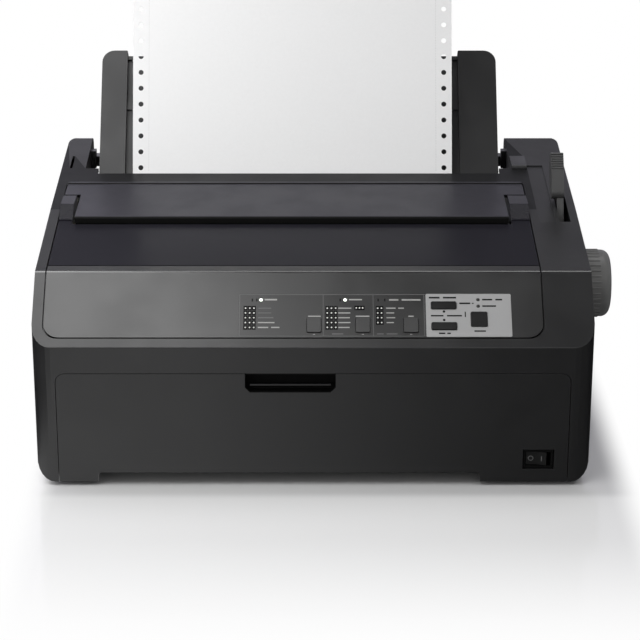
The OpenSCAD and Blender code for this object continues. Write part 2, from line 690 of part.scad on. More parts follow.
// ---------------------------------------------------------------- paper guide

module paper_guide() {
  wing_t = 5.2;
  plate_t = 2.2;
  reach = guide_len;
  color([0.2, 0.2, 0.205]) difference() {
    union() {
      // Centre plate
      on_guide() translate([channel_l - 1, 8, 0]) cube([channel_r - channel_l + 2, reach - 12, plate_t]);
      // Raised wings with one rounded outer corner each
      on_guide() linear_extrude(wing_t + plate_t)
        polygon(rounded([[guide_l, 4], [channel_l, 4], [channel_l, reach],
        [guide_l, reach]], [0, 0, 1, 10], 8));
      on_guide() linear_extrude(wing_t + plate_t)
        polygon(rounded([[channel_r, 4], [guide_r, 4], [guide_r, reach],
        [channel_r, reach]], [0, 0, 10, 1], 8));
      // Rims across the top and the foot
      on_guide() translate([channel_l - 1, reach - 7, 0]) cube([channel_r - channel_l + 2, 3, plate_t + 3]);
      on_guide() translate([channel_l - 1, 8, -3]) cube([channel_r - channel_l + 2, 2, 4]);
      // Rail that the edge guides ride on
      on_guide() translate([channel_l - 1, 62, plate_t - 0.2]) cube([channel_r - channel_l + 2, 6, 2.2]);
      // Arms and pins of the hinge
      for (x = [guide_l, guide_r - 6]) {
        rod(x, x + 6, guide_pin, 6);
        on_guide() translate([x, 0, -3.5]) cube([6, 12, 8]);
      }
      rod(notch_l - 4.4, guide_l + 1, guide_pin, 3);
      rod(guide_r - 1, notch_r + 4.4, guide_pin, 3);
    }
    // Hollow backs of the wings
    on_guide() translate([guide_l + wall, 14, -1])
      cube([channel_l - guide_l - 2 * wall, reach - 26, wing_t + plate_t - wall + 1]);
    on_guide() translate([channel_r + wall, 14, -1])
      cube([guide_r - channel_r - 2 * wall, reach - 26, wing_t + plate_t - wall + 1]);
  }
}

// A slider that stands out of the guide behind the paper's edge
module edge_guide(x, side) {
  rail_n = 2.2 + 2;
  color([0.22, 0.22, 0.225]) on_guide() difference() {
    union() {
      translate([x - 11, 56, 2.2 + 0.3]) cube([22, 18, rail_n + 0.2]);
      translate([side > 0 ? x + 8 : x - 11, 44, 2.2 + 0.3]) cube([3, 42, 11]);
    }
    translate([x - 20, 62 - 0.3, 0]) cube([40, 6.6, rail_n + 0.3]);
  }
}

// ---------------------------------------------------------------- frames and platen

// Steel plate with holes for the shafts; side is -1 on the left and 1 on the right
module side_frame(x, side) {
  foot = side < 0 ? [x, x + 16] : [x + frame_t - 16, x + frame_t];
  tab = side < 0 ? [x, x + 14] : [x + frame_t - 14, x + frame_t];
  color([0.62, 0.63, 0.65]) difference() {
    union() {
      along_x(x, x + frame_t) polygon(rounded([[46, frame_foot_z], [case_d - 10, frame_foot_z],
        [case_d - 10, tractor_c.y + 21], [222, tractor_c.y + 21], [206, platen_z + 23], [98, platen_z + 23],
        [92, cart_z], [46, cart_z]], [2, 2, 8, 8, 8, 8, 2, 4]));
      block(foot, [46, case_d - 10], [frame_foot_z, frame_foot_z + frame_t]);
      // Tabs that the ribbon cartridge rests on
      for (y = [50, 82]) block(tab, [y, y + 8], [cart_z - 2, cart_z]);
      if (side < 0) {
        // Bracket and pin of the belt's idler pulley
        block([x, pulley_l + 8], [belt_y - 8, belt_y + 8], [belt_z - 5, belt_z - 3]);
        post(pulley_l, belt_y, belt_z - 4, belt_z + 9, 2);
        // Stub pins of the idler gears
        for (c = [idler1, idler2]) rod(gear_x - gear_w / 2 - 2, x + 1, c, 3);
      }
    }
    rod(x - 1, x + 3, [platen_y, platen_z], 7);
    rod(x - 1, x + 3, [rod_y, rod_z], rod_r);
    rod(x - 1, x + 3, tractor_c, 3.5 + running);
    rod(x - 1, x + 3, tractor_c - [0, rod_drop], 3);
    if (side < 0) rod(x - 1, x + 3, pinion_c, 10);
    if (side > 0) block([x - 1, x + 3], [belt_y - 11, belt_y + 11], [belt_z - 3, belt_z + 11]);
    // Screw holes in the foot
    for (y = [62, case_d - 26])
      post(side < 0 ? frame_l + 8 : frame_r - 8, y, frame_foot_z - 1, frame_foot_z + 3, 1.7);
  }
}

module platen() {
  color([0.12, 0.12, 0.12]) difference() {
    rod(inner_l + 9, inner_r - 9, [platen_y, platen_z], platen_r);
    rod(inner_l, inner_r, [platen_y, platen_z], shaft_r);
  }
}

module platen_shaft()
  { color([0.7, 0.7, 0.72]) rod(gear_x - 6, half_w + knob_reach - 4, [platen_y, platen_z], shaft_r); }

module platen_knob() {
  ribs = 36;
  r = knob_d / 2;
  x0 = half_w + 2;
  x1 = half_w + knob_reach;
  color([0.38, 0.38, 0.38]) difference() {
    union() {
      translate([0, platen_y, platen_z]) rotate([0, 90, 0]) {
        // Turned body with a rounded rim and a dished end
        rotate_extrude($fn = 96)
          polygon(rounded([[shaft_r, x0], [r - 2.2, x0], [r - 0.6, x0 + 3], [r - 0.6, x1],
          [r - 13, x1], [r - 14, x1 - 1.6], [shaft_r, x1 - 1.6]], [0, 0, 1, 6.5, 1, 0, 0]));
        for (i = [0 : ribs - 1]) rotate([0, 0, i * 360 / ribs]) translate([r - 0.8, 0, x0 + 3.2])
          cylinder(r = 0.8, h = x1 - x0 - 12, $fn = 16);
      }
    }
  }
}

module platen_bushes() {
  color([0.82, 0.82, 0.78]) for (x = [frame_l, frame_r - frame_t]) difference() {
    union() {
      rod(x, x + frame_t, [platen_y, platen_z], 7);
      rod(x < 0 ? x + frame_t : x - 2, x < 0 ? x + frame_t + 2 : x, [platen_y, platen_z], 9.5);
    }
    rod(x - 5, x + 8, [platen_y, platen_z], shaft_r + running);
  }
}

// ---------------------------------------------------------------- gears

// One flank of an involute tooth, from the root to the tip
function involute(base, r) = let (t = sqrt(max((r / base) ^ 2 - 1, 0)) * 180 / PI)
  [r, t - atan(t * PI / 180)];

// Spur gear outline with backlash; a tooth is centred on the positive first axis
function gear_outline(teeth, steps = 4) =
  let (pitch = teeth * gear_m / 2, base = pitch * cos(20), root = pitch - 1.2 * gear_m,
    tip = pitch + 0.9 * gear_m,
       lo = max(base, root), half = 90 / teeth - 0.12 * 180 / PI / pitch + involute(base, pitch)[1])
  [for (i = [0 : teeth - 1], p = concat(
      [[root, -(half - involute(base, lo)[1])]],
      [for (k = [0 : steps]) let (v = involute(base, lo + (tip - lo) * k / steps)) [v[0], -(half - v[1])]],
      [for (k = [steps : -1 : 0]) let (v = involute(base, lo + (tip - lo) * k / steps))
        [v[0], half - v[1]]],
      [[root, half - involute(base, lo)[1]]]))
    let (a = i * 360 / teeth + p[1]) p[0] * [cos(a), sin(a)]];

// A gear on an X axis at c; phase turns it so that it meshes, bore is its hole radius
module gear(teeth, c, phase, bore, tooth_axis = train_a) {
  pitch = teeth * gear_m / 2;
  holes = pitch > 14 ? 5 : 0;
  translate([gear_x - gear_w / 2, c.x, c.y]) rotate([90, 0, 90]) difference() {
    union() {
      difference() {
        linear_extrude(gear_w - 1) rotate(tooth_axis + phase) polygon(gear_outline(teeth));
        // Thin web between the rim and the hub
        if (holes > 0) translate([0, 0, gear_w - 4]) difference() {
          cylinder(r = pitch - 3.4, h = 9);
          translate([0, 0, -1]) cylinder(r = bore + 3, h = 11);
        }
        for (i = [0 : 1 : holes - 1]) rotate(i * 72) translate([(pitch - 3.4 + bore + 3) / 2, 0, -1])
          cylinder(r = (pitch - bore) * 0.19, h = 20);
      }
      cylinder(r = bore + 2.2, h = gear_w);
    }
    translate([0, 0, -1]) cylinder(r = bore, h = gear_w + 2);
  }
}

platen_c = [platen_y, platen_z];
module platen_gear() { color([0.85, 0.85, 0.8]) gear(platen_teeth, platen_c, 0, shaft_r); }
module idler_gear_front()
  { color([0.85, 0.85, 0.8]) gear(idler_teeth, idler1, 180 + 180 / idler_teeth, 3 + running); }
// The front idler has a gap facing back as well, because its tooth count is even
module idler_gear_rear() { color([0.85, 0.85, 0.8]) gear(idler_teeth, idler2, idler2_phase, 3 + running); }
module tractor_gear() { color([0.85, 0.85, 0.8]) gear(tractor_teeth, tractor_c, tractor_phase, 3.5); }
// Phase of a gear whose neighbour in front shows a tooth (or a gap) along the train
function shows_tooth(teeth, phase) = let (step = 360 / teeth, off = (phase / step) % 1) abs(off)
  < 0.25 || abs(off) > 0.75;
idler2_phase = 180 + (shows_tooth(idler_teeth, 180 + 180 / idler_teeth) ? 180 / idler_teeth : 0);
tractor_phase = 180 + (shows_tooth(idler_teeth, idler2_phase) ? 180 / tractor_teeth : 0);

module feed_motor() {
  color([0.55, 0.56, 0.58]) {
    rod(inner_l, inner_l + 22, pinion_c, 21);
    rod(frame_l, inner_l + eps, pinion_c, 9.9);
    rod(gear_x - 6, frame_l + 1, pinion_c, 2);
  }
}

module feed_pinion() {
  // The pinion stands below the front idler and meshes with its lowest tooth
  low = 270 - train_a - (180 + 180 / idler_teeth);
  off = low / (360 / idler_teeth) - round(low / (360 / idler_teeth));
  color([0.75, 0.65, 0.35])
    gear(pinion_teeth, pinion_c, 90 + 180 / pinion_teeth + off * 360 / pinion_teeth, 2 + running, 0);
}

// ---------------------------------------------------------------- tractors

module tractor_shaft() {
  color([0.7, 0.7, 0.72]) {
    rod(gear_x - 6, frame_l + 3, tractor_c, 3.5);
    rod(frame_r - 3, frame_r + 2, tractor_c, 3.5);
    translate([frame_l + 3 - eps, tractor_c.x, tractor_c.y]) rotate([train_a, 0, 0])
      translate([0, -square / 2, -square / 2]) cube([frame_r - frame_l - 6 + 2 * eps, square, square]);
  }
}

module tractor_rod() { color([0.7, 0.7, 0.72]) rod(frame_l, frame_r, tractor_c - [0, rod_drop], 3); }

wheel_l_x = paper_x - paper_w / 2 + hole_inset;
wheel_r_x = paper_x + paper_w / 2 - hole_inset;

// Wheel whose pins enter the paper's feed holes
module pin_wheel(x) {
  hub = tractor_w / 2 + 1;
  color([0.15, 0.15, 0.15]) difference() {
    union() {
      rod(x - 4, x + 4, tractor_c, wheel_r);
      rod(x - hub, x + hub, tractor_c, hub_r);
      for (i = [0 : pins - 1]) translate([x, tractor_c.x, tractor_c.y]) rotate([i * 360 / pins, 0, 0]) {
        translate([0, 0, wheel_r - 1]) cylinder(r = 1.7, h = 2, $fn = 24);
        translate([0, 0, wheel_r + 1 - eps]) cylinder(r1 = 1.7, r2 = 0.9, h = 1.5, $fn = 24);
      }
    }
    translate([x - hub - 1, tractor_c.x, tractor_c.y]) rotate([train_a, 0, 0])
      translate([0, -square / 2 - 0.15, -square / 2 - 0.15])
        cube([2 * hub + 2, square + 0.3, square + 0.3]);
  }
}

// Body: two cheeks around the pin wheel, joined under it; side is -1 on the left
module tractor(x, side) {
  c = tractor_c;
  half = tractor_w / 2;
  color([0.18, 0.18, 0.18]) difference() {
    union() {
      for (s = [-1, 1]) along_x(x + s * half - (s > 0 ? 3 : 0), x + s * half + (s > 0 ? 0 : 3))
        polygon(rounded([[c.x - 20, c.y - 33], [c.x + 18, c.y - 33], [c.x + 21, c.y + wheel_r - 0.4],
          [c.x - 23, c.y + wheel_r - 0.4]],
          [4, 4, 6, 6]));
      block([x - half, x + half], [c.x - 16, c.x + 14], [c.y - 33, c.y - 20.5]);
      // Knuckle of the lid's hinge
      translate([x + side * (half + 2.2), c.x + 12, c.y + wheel_r - 2.6]) rotate([90, 0, 0])
        cylinder(r = 2.2, h = 24);
      block(side < 0 ? [x - half - 2.2, x - half + 1] : [x + half - 1, x + half + 2.2],
        [c.x - 12, c.x + 12],
        [c.y + wheel_r - 9, c.y + wheel_r - 2.6]);
    }
    rod(x - 40, x + 40, c, hub_r + running);
    rod(x - 40, x + 40, c - [0, rod_drop], 3 + running);
    translate([x + side * (half + 2.2), c.x + 13, c.y + wheel_r - 2.6]) rotate([90, 0, 0])
      cylinder(r = 1 + running, h = 26);
  }
}

// Lid that holds the paper down on the pins
module tractor_lid(x, side) {
  c = tractor_c;
  half = tractor_w / 2;
  axis_x = x + side * (half + 2.2);
  z = c.y + wheel_r + 1;
  color([0.24, 0.24, 0.24]) difference() {
    union() {
      block(side < 0 ? [axis_x - 1, x + half] : [x - half, axis_x + 1], [c.x - 23, c.x + 21], [z, z + 2]);
      for (y = [c.x - 18, c.x + 16]) hull() {
        translate([axis_x, y + 2.4, c.y + wheel_r - 2.6]) rotate([90, 0, 0])
          cylinder(r = 2.2, h = 2.8, $fn = 32);
        block([axis_x - 2.2, axis_x + 2.2], [y - 0.4, y + 2.4], [z + 0.5, z + 2]);
      }
      translate([axis_x, c.x + 17, c.y + wheel_r - 2.6]) rotate([90, 0, 0]) cylinder(r = 1, h = 34);
    }
    // Slot for the pins
    block([x - 2.6, x + 2.6], [c.x - 14, c.x + 14], [z - 1, z + 9]);
  }
}

// ---------------------------------------------------------------- carriage

module carriage_rod() { color([0.75, 0.75, 0.77]) rod(frame_l - 3, frame_r + 12, [rod_y, rod_z], rod_r); }

module carriage_rail() {
  color([0.6, 0.61, 0.63]) union() {
    block([inner_l, inner_r], [62, 64], [61, 86]);
    block([inner_l, inner_r], [50, 64], [61, 63]);
    for (x = [inner_l, inner_r - 2]) block([x, x + 2], [50, 64], [61, 80]);
  }
}

module carriage() {
  w = 30;
  color([0.2, 0.2, 0.2]) difference() {
    union() {
      along_x(carriage_home - w, carriage_home + w)
        polygon([[120, 62], [120, 82], [67.5, 82], [67.5, 90], [58.5, 90],
        [58.5, 79], [61.6, 79], [61.6, 86.4], [64.4, 86.4], [64.4, 78], [97, 78], [97, 62]]);
      // Clip on the front run of the belt
      block([carriage_home - 7, carriage_home + 7],
        [belt_y - pulley_r - 2.6, belt_y - pulley_r - 0.6 - belt_t / 2 + 0.05], [belt_z - 1, 79]);
      block([carriage_home - 7, carriage_home + 7],
        [belt_y - pulley_r + 0.6 + belt_t / 2 - 0.05, belt_y - pulley_r + 2.6], [belt_z - 1, 79]);
      // Ears beside the print head
      for (x = [-w, w - 3]) block([carriage_home + x, carriage_home + x + 3], [98, 120], [81, 96]);
    }
    rod(carriage_home - w - 1, carriage_home + w + 1, [rod_y, rod_z], rod_r + running);
  }
}

// Finned block with the tapered nose that the needles leave by
module print_head() {
  fins = 9;
  pitch = head_w / fins;
  c = carriage_home;
  color([0.45, 0.46, 0.48]) {
    linear_extrude_fins(c, fins, pitch);
    block([c - 16, c + 16], [98, 118], [82, 86]);
    along_x(c - 9, c + 9) polygon([[117, 86], [124, 93], [124, 113], [117, 120]]);
    hull() {
      block([c - 7, c + 7], [123.5, 124], [94, 112]);
      block([c - 3, c + 3], [head_tip - 0.5, head_tip], [97, 109]);
    }
  }
}

module linear_extrude_fins(c, fins, pitch) {
  translate([0, 0, 86]) linear_extrude(36) union() {
    for (i = [0 : fins - 1]) translate([c - head_w / 2 + i * pitch + pitch / 2 - 0.7, 97])
      square([1.4, 21]);
    translate([c - head_w / 2 + pitch / 2, 105]) square([head_w - pitch, 12]);
  }
}

module carriage_motor() {
  c = pulley_right;
  color([0.3, 0.3, 0.31]) {
    block([c - 21, c + 21], [belt_y - 21, belt_y + 21], [motor_z, motor_z + 36]);
    post(c, belt_y, motor_z + 36 - eps, motor_z + 38, 11);
    post(c, belt_y, motor_z + 37, belt_z + 8, 2.5);
  }
}
motor_z = 24;

// Toothed pulley with a flange at each end
module pulley(x, bore) {
  teeth = 20;
  color([0.75, 0.75, 0.77]) difference() {
    union() {
      post(x, belt_y, belt_z - 1.6, belt_z - 0.4, pulley_r + 1.8);
      post(x, belt_y, belt_z + belt_h + 0.4, belt_z + belt_h + 1.6, pulley_r + 1.8);
      translate([x, belt_y, belt_z - 1]) linear_extrude(belt_h + 2) difference() {
        circle(r = pulley_r - 0.65);
        for (i = [0 : teeth - 1]) rotate(i * 360 / teeth) translate([pulley_r - 0.6, 0])
          circle(r = 0.5, $fn = 12);
      }
    }
    post(x, belt_y, belt_z - 9, belt_z + 12, bore);
  }
}

module carriage_belt() {
  module loop(r) { hull() for (x = [pulley_l, pulley_right]) translate([x, belt_y])
    circle(r = r, $fn = 64); }
  color([0.08, 0.08, 0.08]) translate([0, 0, belt_z]) linear_extrude(belt_h) difference() {
    loop(pulley_r + belt_t / 2);
    loop(pulley_r - belt_t / 2 + 0.05);
  }
}

// Lever on the end of the carriage rod that sets the head's gap
module thickness_lever() {
  x = frame_r + 3;
  color([0.25, 0.4, 0.55]) difference() {
    union() {
      rod(x, x + 6, [rod_y, rod_z], 9);
      along_x(x + 1, x + 5)
        polygon(rounded([[rod_y - 4, rod_z], [rod_y + 4, rod_z], [rod_y + 3, 138], [rod_y - 3, 138]],
        [0, 0, 2, 2]));
      rod(x - 1, x + 7, [rod_y, 138], 4.5);
    }
    rod(x - 1, x + 7, [rod_y, rod_z], rod_r + running);
  }
}

// ---------------------------------------------------------------- ribbon

cart_z = 97;
cart_l = inner_l + 4;
cart_r = inner_r - 4;

module ribbon_cartridge() {
  h = 17;
  tip = ribbon_y + 1.6;
  color([0.12, 0.12, 0.12]) difference() {
    union() {
      // Body with a grip, and an arm at each end that reaches back beside the platen
      translate([0, 0, cart_z]) linear_extrude(h)
        polygon(rounded([[cart_l + 14, 36], [cart_r - 14, 36], [cart_r, 48],
        [cart_r, 95], [cart_r - 3, tip], [cart_r - 9, tip], [cart_r - 13, 92], [cart_l + 13, 92],
          [cart_l + 9, tip],
        [cart_l + 3, tip], [cart_l, 95], [cart_l, 48]], [6, 6, 6, 2, 3, 3, 2, 2, 3, 3, 2, 6]));
      translate([0, 0, cart_z + h - 1]) linear_extrude(2.4)
        rounded_rect([paper_x - 34, paper_x + 34], [44, 52], 2);
      for (i = [0 : 15]) block([paper_x - 60 + 8 * i, paper_x - 56.5 + 8 * i], [66, 86],
        [cart_z + h - 1, cart_z + h + 0.8]);
    }
    post(ribbon_knob_x, 56, cart_z + h - 5, cart_z + h + 4, 3 + running);
    // Slots in the arm tips that the ribbon runs through
    block([cart_l - 1, cart_l + 20], [ribbon_y - 0.5, ribbon_y + 0.5], [cart_z + 1.5, cart_z + h + 1]);
    block([cart_r - 20, cart_r + 1], [ribbon_y - 0.5, ribbon_y + 0.5], [cart_z + 1.5, cart_z + h + 1]);
  }
}
ribbon_knob_x = cart_l + 34;

module ribbon_knob() {
  color([0.2, 0.2, 0.2]) {
    post(ribbon_knob_x, 56, cart_z + 17 - 4.6, cart_z + 18, 3);
    difference() {
      post(ribbon_knob_x, 56, cart_z + 17.6, cart_z + 24, 9);
      for (i = [0 : 17]) rotate_about([ribbon_knob_x, 56], i * 20)
        post(ribbon_knob_x + 9.4, 56, cart_z + 17, cart_z + 25, 1);
    }
  }
}
module rotate_about(c, a) { translate([c.x, c.y, 0]) rotate([0, 0, a]) translate([-c.x, -c.y, 0])
  children(); }

module inked_ribbon() {
  color([0.05, 0.05, 0.06])
    block([cart_l + 2.2, cart_r - 2.2], [ribbon_y - 0.15, ribbon_y + 0.15], [cart_z + 1.5, cart_z + 14]);
}

// ---------------------------------------------------------------- paper

// Middle line of the sheet, from its free end to its tail behind the platen
function sheet_path() =
  let (up = [sin(paper_lean), cos(paper_lean)], t = wrap_top(), c = platen_c,
       a0 = atan2(t.y - c.y, t.x - c.x), steps = 26)
  concat([exit_pt + paper_up * up], arc_corner(exit_pt + paper_up * up, bend_pt(), t, 30, 8),
    [for (i = [0 : steps]) let (a = a0 + (270 - a0) * i / steps) c + wrap_r * [cos(a), sin(a)]],
    [[tail_y, platen_z - wrap_r]]);

module fanfold_paper() {
  color([0.92, 0.92, 0.92]) difference() {
    along_x(paper_x - paper_w / 2, paper_x + paper_w / 2) polygon(band(sheet_path(), paper_t));
    for (x = [wheel_l_x, wheel_r_x], i = [0 : floor((paper_up - 5) / hole_pitch)])
      translate([x, exit_pt.x, exit_pt.y]) rotate([90 - paper_lean, 0, 0])
        translate([0, 4.2 + i * hole_pitch, -3]) cylinder(d = hole_d, h = 6);
  }
}

// Guides the sheet in from the front and from the tractors to the underside of the platen
module paper_chute() {
  low = platen_z - wrap_r - paper_t / 2 - 3;
  color([0.22, 0.22, 0.22]) difference() {
    along_x(inner_l, inner_r)
      polygon(band([[26, 46], [121, 46], [124, 47.5], [147, low - 2], [150, low - 1],
      [238, low - 1], [250, low + 6]], 2));
    block([inner_l - 1, inner_l + 24], [pinion_c.x - 25, pinion_c.x + 25], [40, 100]);
    for (i = [0 : 8]) block([inner_l + 40 + 28 * i, inner_l + 54 + 28 * i], [160, 164], [40, 100]);
  }
}

// ---------------------------------------------------------------- electrics

board_z = 34;
board_x = [-152, 12];
function board_posts() = [for (x = board_x + [5, -5], y = [case_d - 150, case_d - 18]) [x, y]];
// Connectors as [left, right, top]
PORTS = [[-118, -52, 17], [-38, -26, 12.5], [-14, 5, 13.5]];

module port_windows() {
  for (p = PORTS) block([p[0] - 1.5, p[1] + 1.5], [case_d - 6, case_d + 1], [board_z, board_z + 3 + p[2]]);
}

module main_board() {
  color([0.1, 0.35, 0.18]) difference() {
    block(board_x, [case_d - 156, case_d - 12], [board_z, board_z + 1.6]);
    for (b = board_posts()) post(b.x, b.y, board_z - 1, board_z + 3, 1.6);
  }
  color([0.1, 0.1, 0.1]) {
    block([-110, -82], [case_d - 110, case_d - 82], [board_z + 1.6, board_z + 4.6]);
    block([-60, -42], [case_d - 100, case_d - 86], [board_z + 1.6, board_z + 4.4]);
    block([-30, -4], [case_d - 130, case_d - 118], [board_z + 1.6, board_z + 9]);
    for (i = [0 : 3]) post(-140, case_d - 140 + 26 * i, board_z + 1.6, board_z + 16, 5);
  }
}

module interface_ports() {
  z = board_z + 1.6;
  color([0.6, 0.6, 0.62]) for (p = PORTS) difference() {
    block([p[0], p[1]], [case_d - 26, case_d - 1], [z, z + p[2]]);
    difference() {
      block([p[0] + 1.4, p[1] - 1.4], [case_d - 9, case_d], [z + 1.6, z + p[2] - 1.6]);
      block([p[0] + 4, p[1] - 4], [case_d - 10, case_d - 1.5], [z + p[2] / 2 - 1.3, z + p[2] / 2 + 1.3]);
    }
  }
}

module power_supply() {
  color([0.66, 0.67, 0.69]) difference() {
    block([22, frame_r - 18], [case_d - 140, case_d - 14], [tunnel_z + wall, 60]);
    // Hollow, folded from steel sheet
    block([23.2, frame_r - 19.2], [case_d - 138.8, case_d - 15.2], [tunnel_z + wall + 1.2, 58.8]);
    // Rows of air slots in the lid
    for (i = [0 : 8], y = [case_d - 122, case_d - 70])
      block([28 + 9 * i, 31 + 9 * i], [y, y + 38], [56, 61]);
  }
}

inlet_x = half_w - 33;
inlet_z = 52;
module inlet_window()
  { block([inlet_x - 14, inlet_x + 14], [case_d - 9, case_d + 1], [inlet_z - 10.4, inlet_z + 10.4]); }

module ac_inlet() {
  color([0.1, 0.1, 0.1]) {
    difference() {
      union() {
        along_y(case_d - 24, case_d)
          rounded_rect([inlet_x - 13.6, inlet_x + 13.6], [inlet_z - 10, inlet_z + 10], 2);
        along_y(case_d - 5, case_d - wall)
          rounded_rect([inlet_x - 15.5, inlet_x + 15.5], [inlet_z - 12, inlet_z + 12], 2);
      }
      along_y(case_d - 17, case_d + 1) polygon([[inlet_x - 12, inlet_z - 8], [inlet_x + 12, inlet_z - 8],
        [inlet_x + 12, inlet_z + 4], [inlet_x + 8, inlet_z + 8], [inlet_x - 8, inlet_z + 8],
          [inlet_x - 12, inlet_z + 4]]);
    }
  }
  color([0.75, 0.75, 0.7]) for (p = [[-7, -2], [7, -2], [0, 2.5]])
    block([inlet_x + p.x - 1, inlet_x + p.x + 1], [case_d - 18, case_d - 5.5],
      [inlet_z + p.y - 2, inlet_z + p.y + 2]);
}

// ---------------------------------------------------------------- nodes

place() lower_case();
place() upper_case();
place() rubber_feet();
place() front_cover();
place() control_fascia();
place() panel_overlay();
place() panel_board();
place() button(BUTTONS[0]);  // button_left
place() button(BUTTONS[1]);  // button_middle
place() button(BUTTONS[2]);  // button_right
place() button(BUTTONS[3]);  // button_load
place() button(BUTTONS[4]);  // button_feed
place() button(BUTTONS[5]);  // button_pause
place() power_switch_frame();
place() power_rocker();
place() printer_cover();
place() eject_cover();
place() tension_rollers();
place() paper_guide();
place() edge_guide(paper_x - 70, -1);  // edge_guide_left
place() edge_guide(paper_x + 70, 1);  // edge_guide_right
place() paper_release_lever();
place() side_frame(frame_l, -1);  // side_frame_left
place() side_frame(frame_r - frame_t, 1);  // side_frame_right
place() platen();
place() platen_shaft();
place() platen_knob();
place() platen_gear();
place() platen_bushes();
place() feed_motor();
place() feed_pinion();
place() idler_gear_front();
place() idler_gear_rear();
place() tractor_shaft();
place() tractor_gear();
place() tractor_rod();
place() tractor(wheel_l_x, -1);  // tractor_left
place() tractor(wheel_r_x, 1);  // tractor_right
place() tractor_lid(wheel_l_x, -1);  // tractor_lid_left
place() tractor_lid(wheel_r_x, 1);  // tractor_lid_right
place() pin_wheel(wheel_l_x);  // pin_wheel_left
place() pin_wheel(wheel_r_x);  // pin_wheel_right
place() carriage_rod();
place() carriage_rail();
place() carriage();
place() print_head();
place() carriage_motor();
place() pulley(pulley_right, 2.5 + running);  // drive_pulley
place() pulley(pulley_l, 2 + running);  // idler_pulley
place() carriage_belt();
place() thickness_lever();
place() ribbon_cartridge();
place() ribbon_knob();
place() inked_ribbon();
place() paper_chute();
place() main_board();
place() power_supply();
place() ac_inlet();
place() interface_ports();
place() fanfold_paper();
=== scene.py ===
# %% [markdown]
# A desk-top dot matrix printer, dressed from its finished CAD frame. The frame holds every solid at
# its true size. This lesson gives each one its moulded, ground or printed surface, paints shade into
# the finger grip and onto the eject cover's lip, softens the mould's edges, and adds what is too small
# for the frame: printed marks, indicator lenses, a strip of felt that is also painted shade, a ridge in
# the finger grip and the tear lines of the paper, which are painted shade.

# %% Load the frame
import json
import math
import bmesh
import bpy
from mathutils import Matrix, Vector


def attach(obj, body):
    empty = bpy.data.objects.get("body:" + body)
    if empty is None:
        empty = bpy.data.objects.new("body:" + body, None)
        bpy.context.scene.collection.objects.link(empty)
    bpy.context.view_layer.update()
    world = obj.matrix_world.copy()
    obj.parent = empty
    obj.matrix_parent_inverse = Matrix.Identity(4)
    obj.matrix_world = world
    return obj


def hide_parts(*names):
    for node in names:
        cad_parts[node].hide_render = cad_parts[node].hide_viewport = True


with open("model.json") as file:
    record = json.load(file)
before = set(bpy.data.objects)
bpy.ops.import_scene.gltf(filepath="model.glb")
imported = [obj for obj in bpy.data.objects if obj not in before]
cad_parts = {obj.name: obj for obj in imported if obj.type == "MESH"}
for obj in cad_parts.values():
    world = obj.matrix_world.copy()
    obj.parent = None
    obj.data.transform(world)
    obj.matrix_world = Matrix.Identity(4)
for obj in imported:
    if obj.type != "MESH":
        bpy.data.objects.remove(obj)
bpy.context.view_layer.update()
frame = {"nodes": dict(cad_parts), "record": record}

nodes = frame["nodes"]
slot_of = {s["node"]: s["material_slot"] for s in frame["record"]["subparts"]}
body_of = {n: b for b, members in frame["record"]["behaviour"]["bodies"].items() for n in members}

# %% [markdown]
# The case's own lines are the handiest ruler on this machine. The CAD file measures from the
# middle of the case's front edge, and the frame's origin is under the middle of the whole machine,
# so one helper turns case millimetres into frame metres. The control panel lies on a slope between
# two folds, so a second helper takes a point across the panel, up the slope and out of its face.

# %% Rulers
MM = 0.001
CASE_TO_FRAME = Vector((-14.0, -152.0, 0.0))
LOW_FOLD_Z = 107.0
PANEL_RUN, PANEL_RISE = 45.5, 42.0
SLOPE = math.atan2(PANEL_RISE, PANEL_RUN)


def at(x, y, z):
    return (Vector((x, y, z)) + CASE_TO_FRAME) * MM


def on_slope(x, s, n=0.0):
    y = s * math.cos(SLOPE) - n * math.sin(SLOPE)
    z = LOW_FOLD_Z + s * math.sin(SLOPE) + n * math.cos(SLOPE)
    return at(x, y, z)


print("panel slope:", round(math.degrees(SLOPE), 1), "degrees")

# %% [markdown]
# Every piece that is added rides a body of the machine, so that it moves when a cover swings or a
# key is pressed, and it takes its finish. One helper does this for all of them: the builder that it
# is given fills the mesh, and the helper does the rest.

# %% Collect a piece
def collect(name, mesh_builder, finish, body):
    """A mesh object filled by mesh_builder, with its finish and body."""
    mesh = bpy.data.meshes.new(name)
    bm = bmesh.new()
    mesh_builder(bm)
    bmesh.ops.recalc_face_normals(bm, faces=bm.faces)
    bm.to_mesh(mesh)
    bm.free()
    piece = bpy.data.objects.new(name, mesh)
    bpy.context.scene.collection.objects.link(piece)
    mesh.materials.append(finish)
    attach(piece, body)
    print(name, "faces:", len(mesh.polygons))
    return piece


# %% [markdown]
# The camera stands well back with a long lens, in line with the middle of the machine and looking
# down by 20 degrees, as a catalogue picture is taken. A small shift keeps the machine centred.

# %% Camera
SENSOR_MM, LENS_MM = 36.0, 122.29
CAMERA_BACK, CAMERA_HEIGHT, LOOK_DOWN = 1442.5, 653.0, 20
camera_data = bpy.data.cameras.new("catalogue_camera")
camera_data.sensor_width = SENSOR_MM
camera_data.lens = LENS_MM
camera_data.shift_x = 0.0107
camera_data.clip_end = 20
camera = bpy.data.objects.new("catalogue_camera", camera_data)
camera.location = at(0.0, -CAMERA_BACK, CAMERA_HEIGHT)
camera.rotation_euler = (math.radians(90 - LOOK_DOWN), 0, 0)
bpy.context.scene.collection.objects.link(camera)
bpy.context.scene.camera = camera
print("camera at", tuple(round(v, 3) for v in camera.location))

# %% [markdown]
# A studio is graded by letting a place or a direction steer a strength. Two small helpers do all of
# it: one turns a stretch of any value into a soft ramp between two others, and one joins two values
# by a sum or a product. The finishes further on use them too.

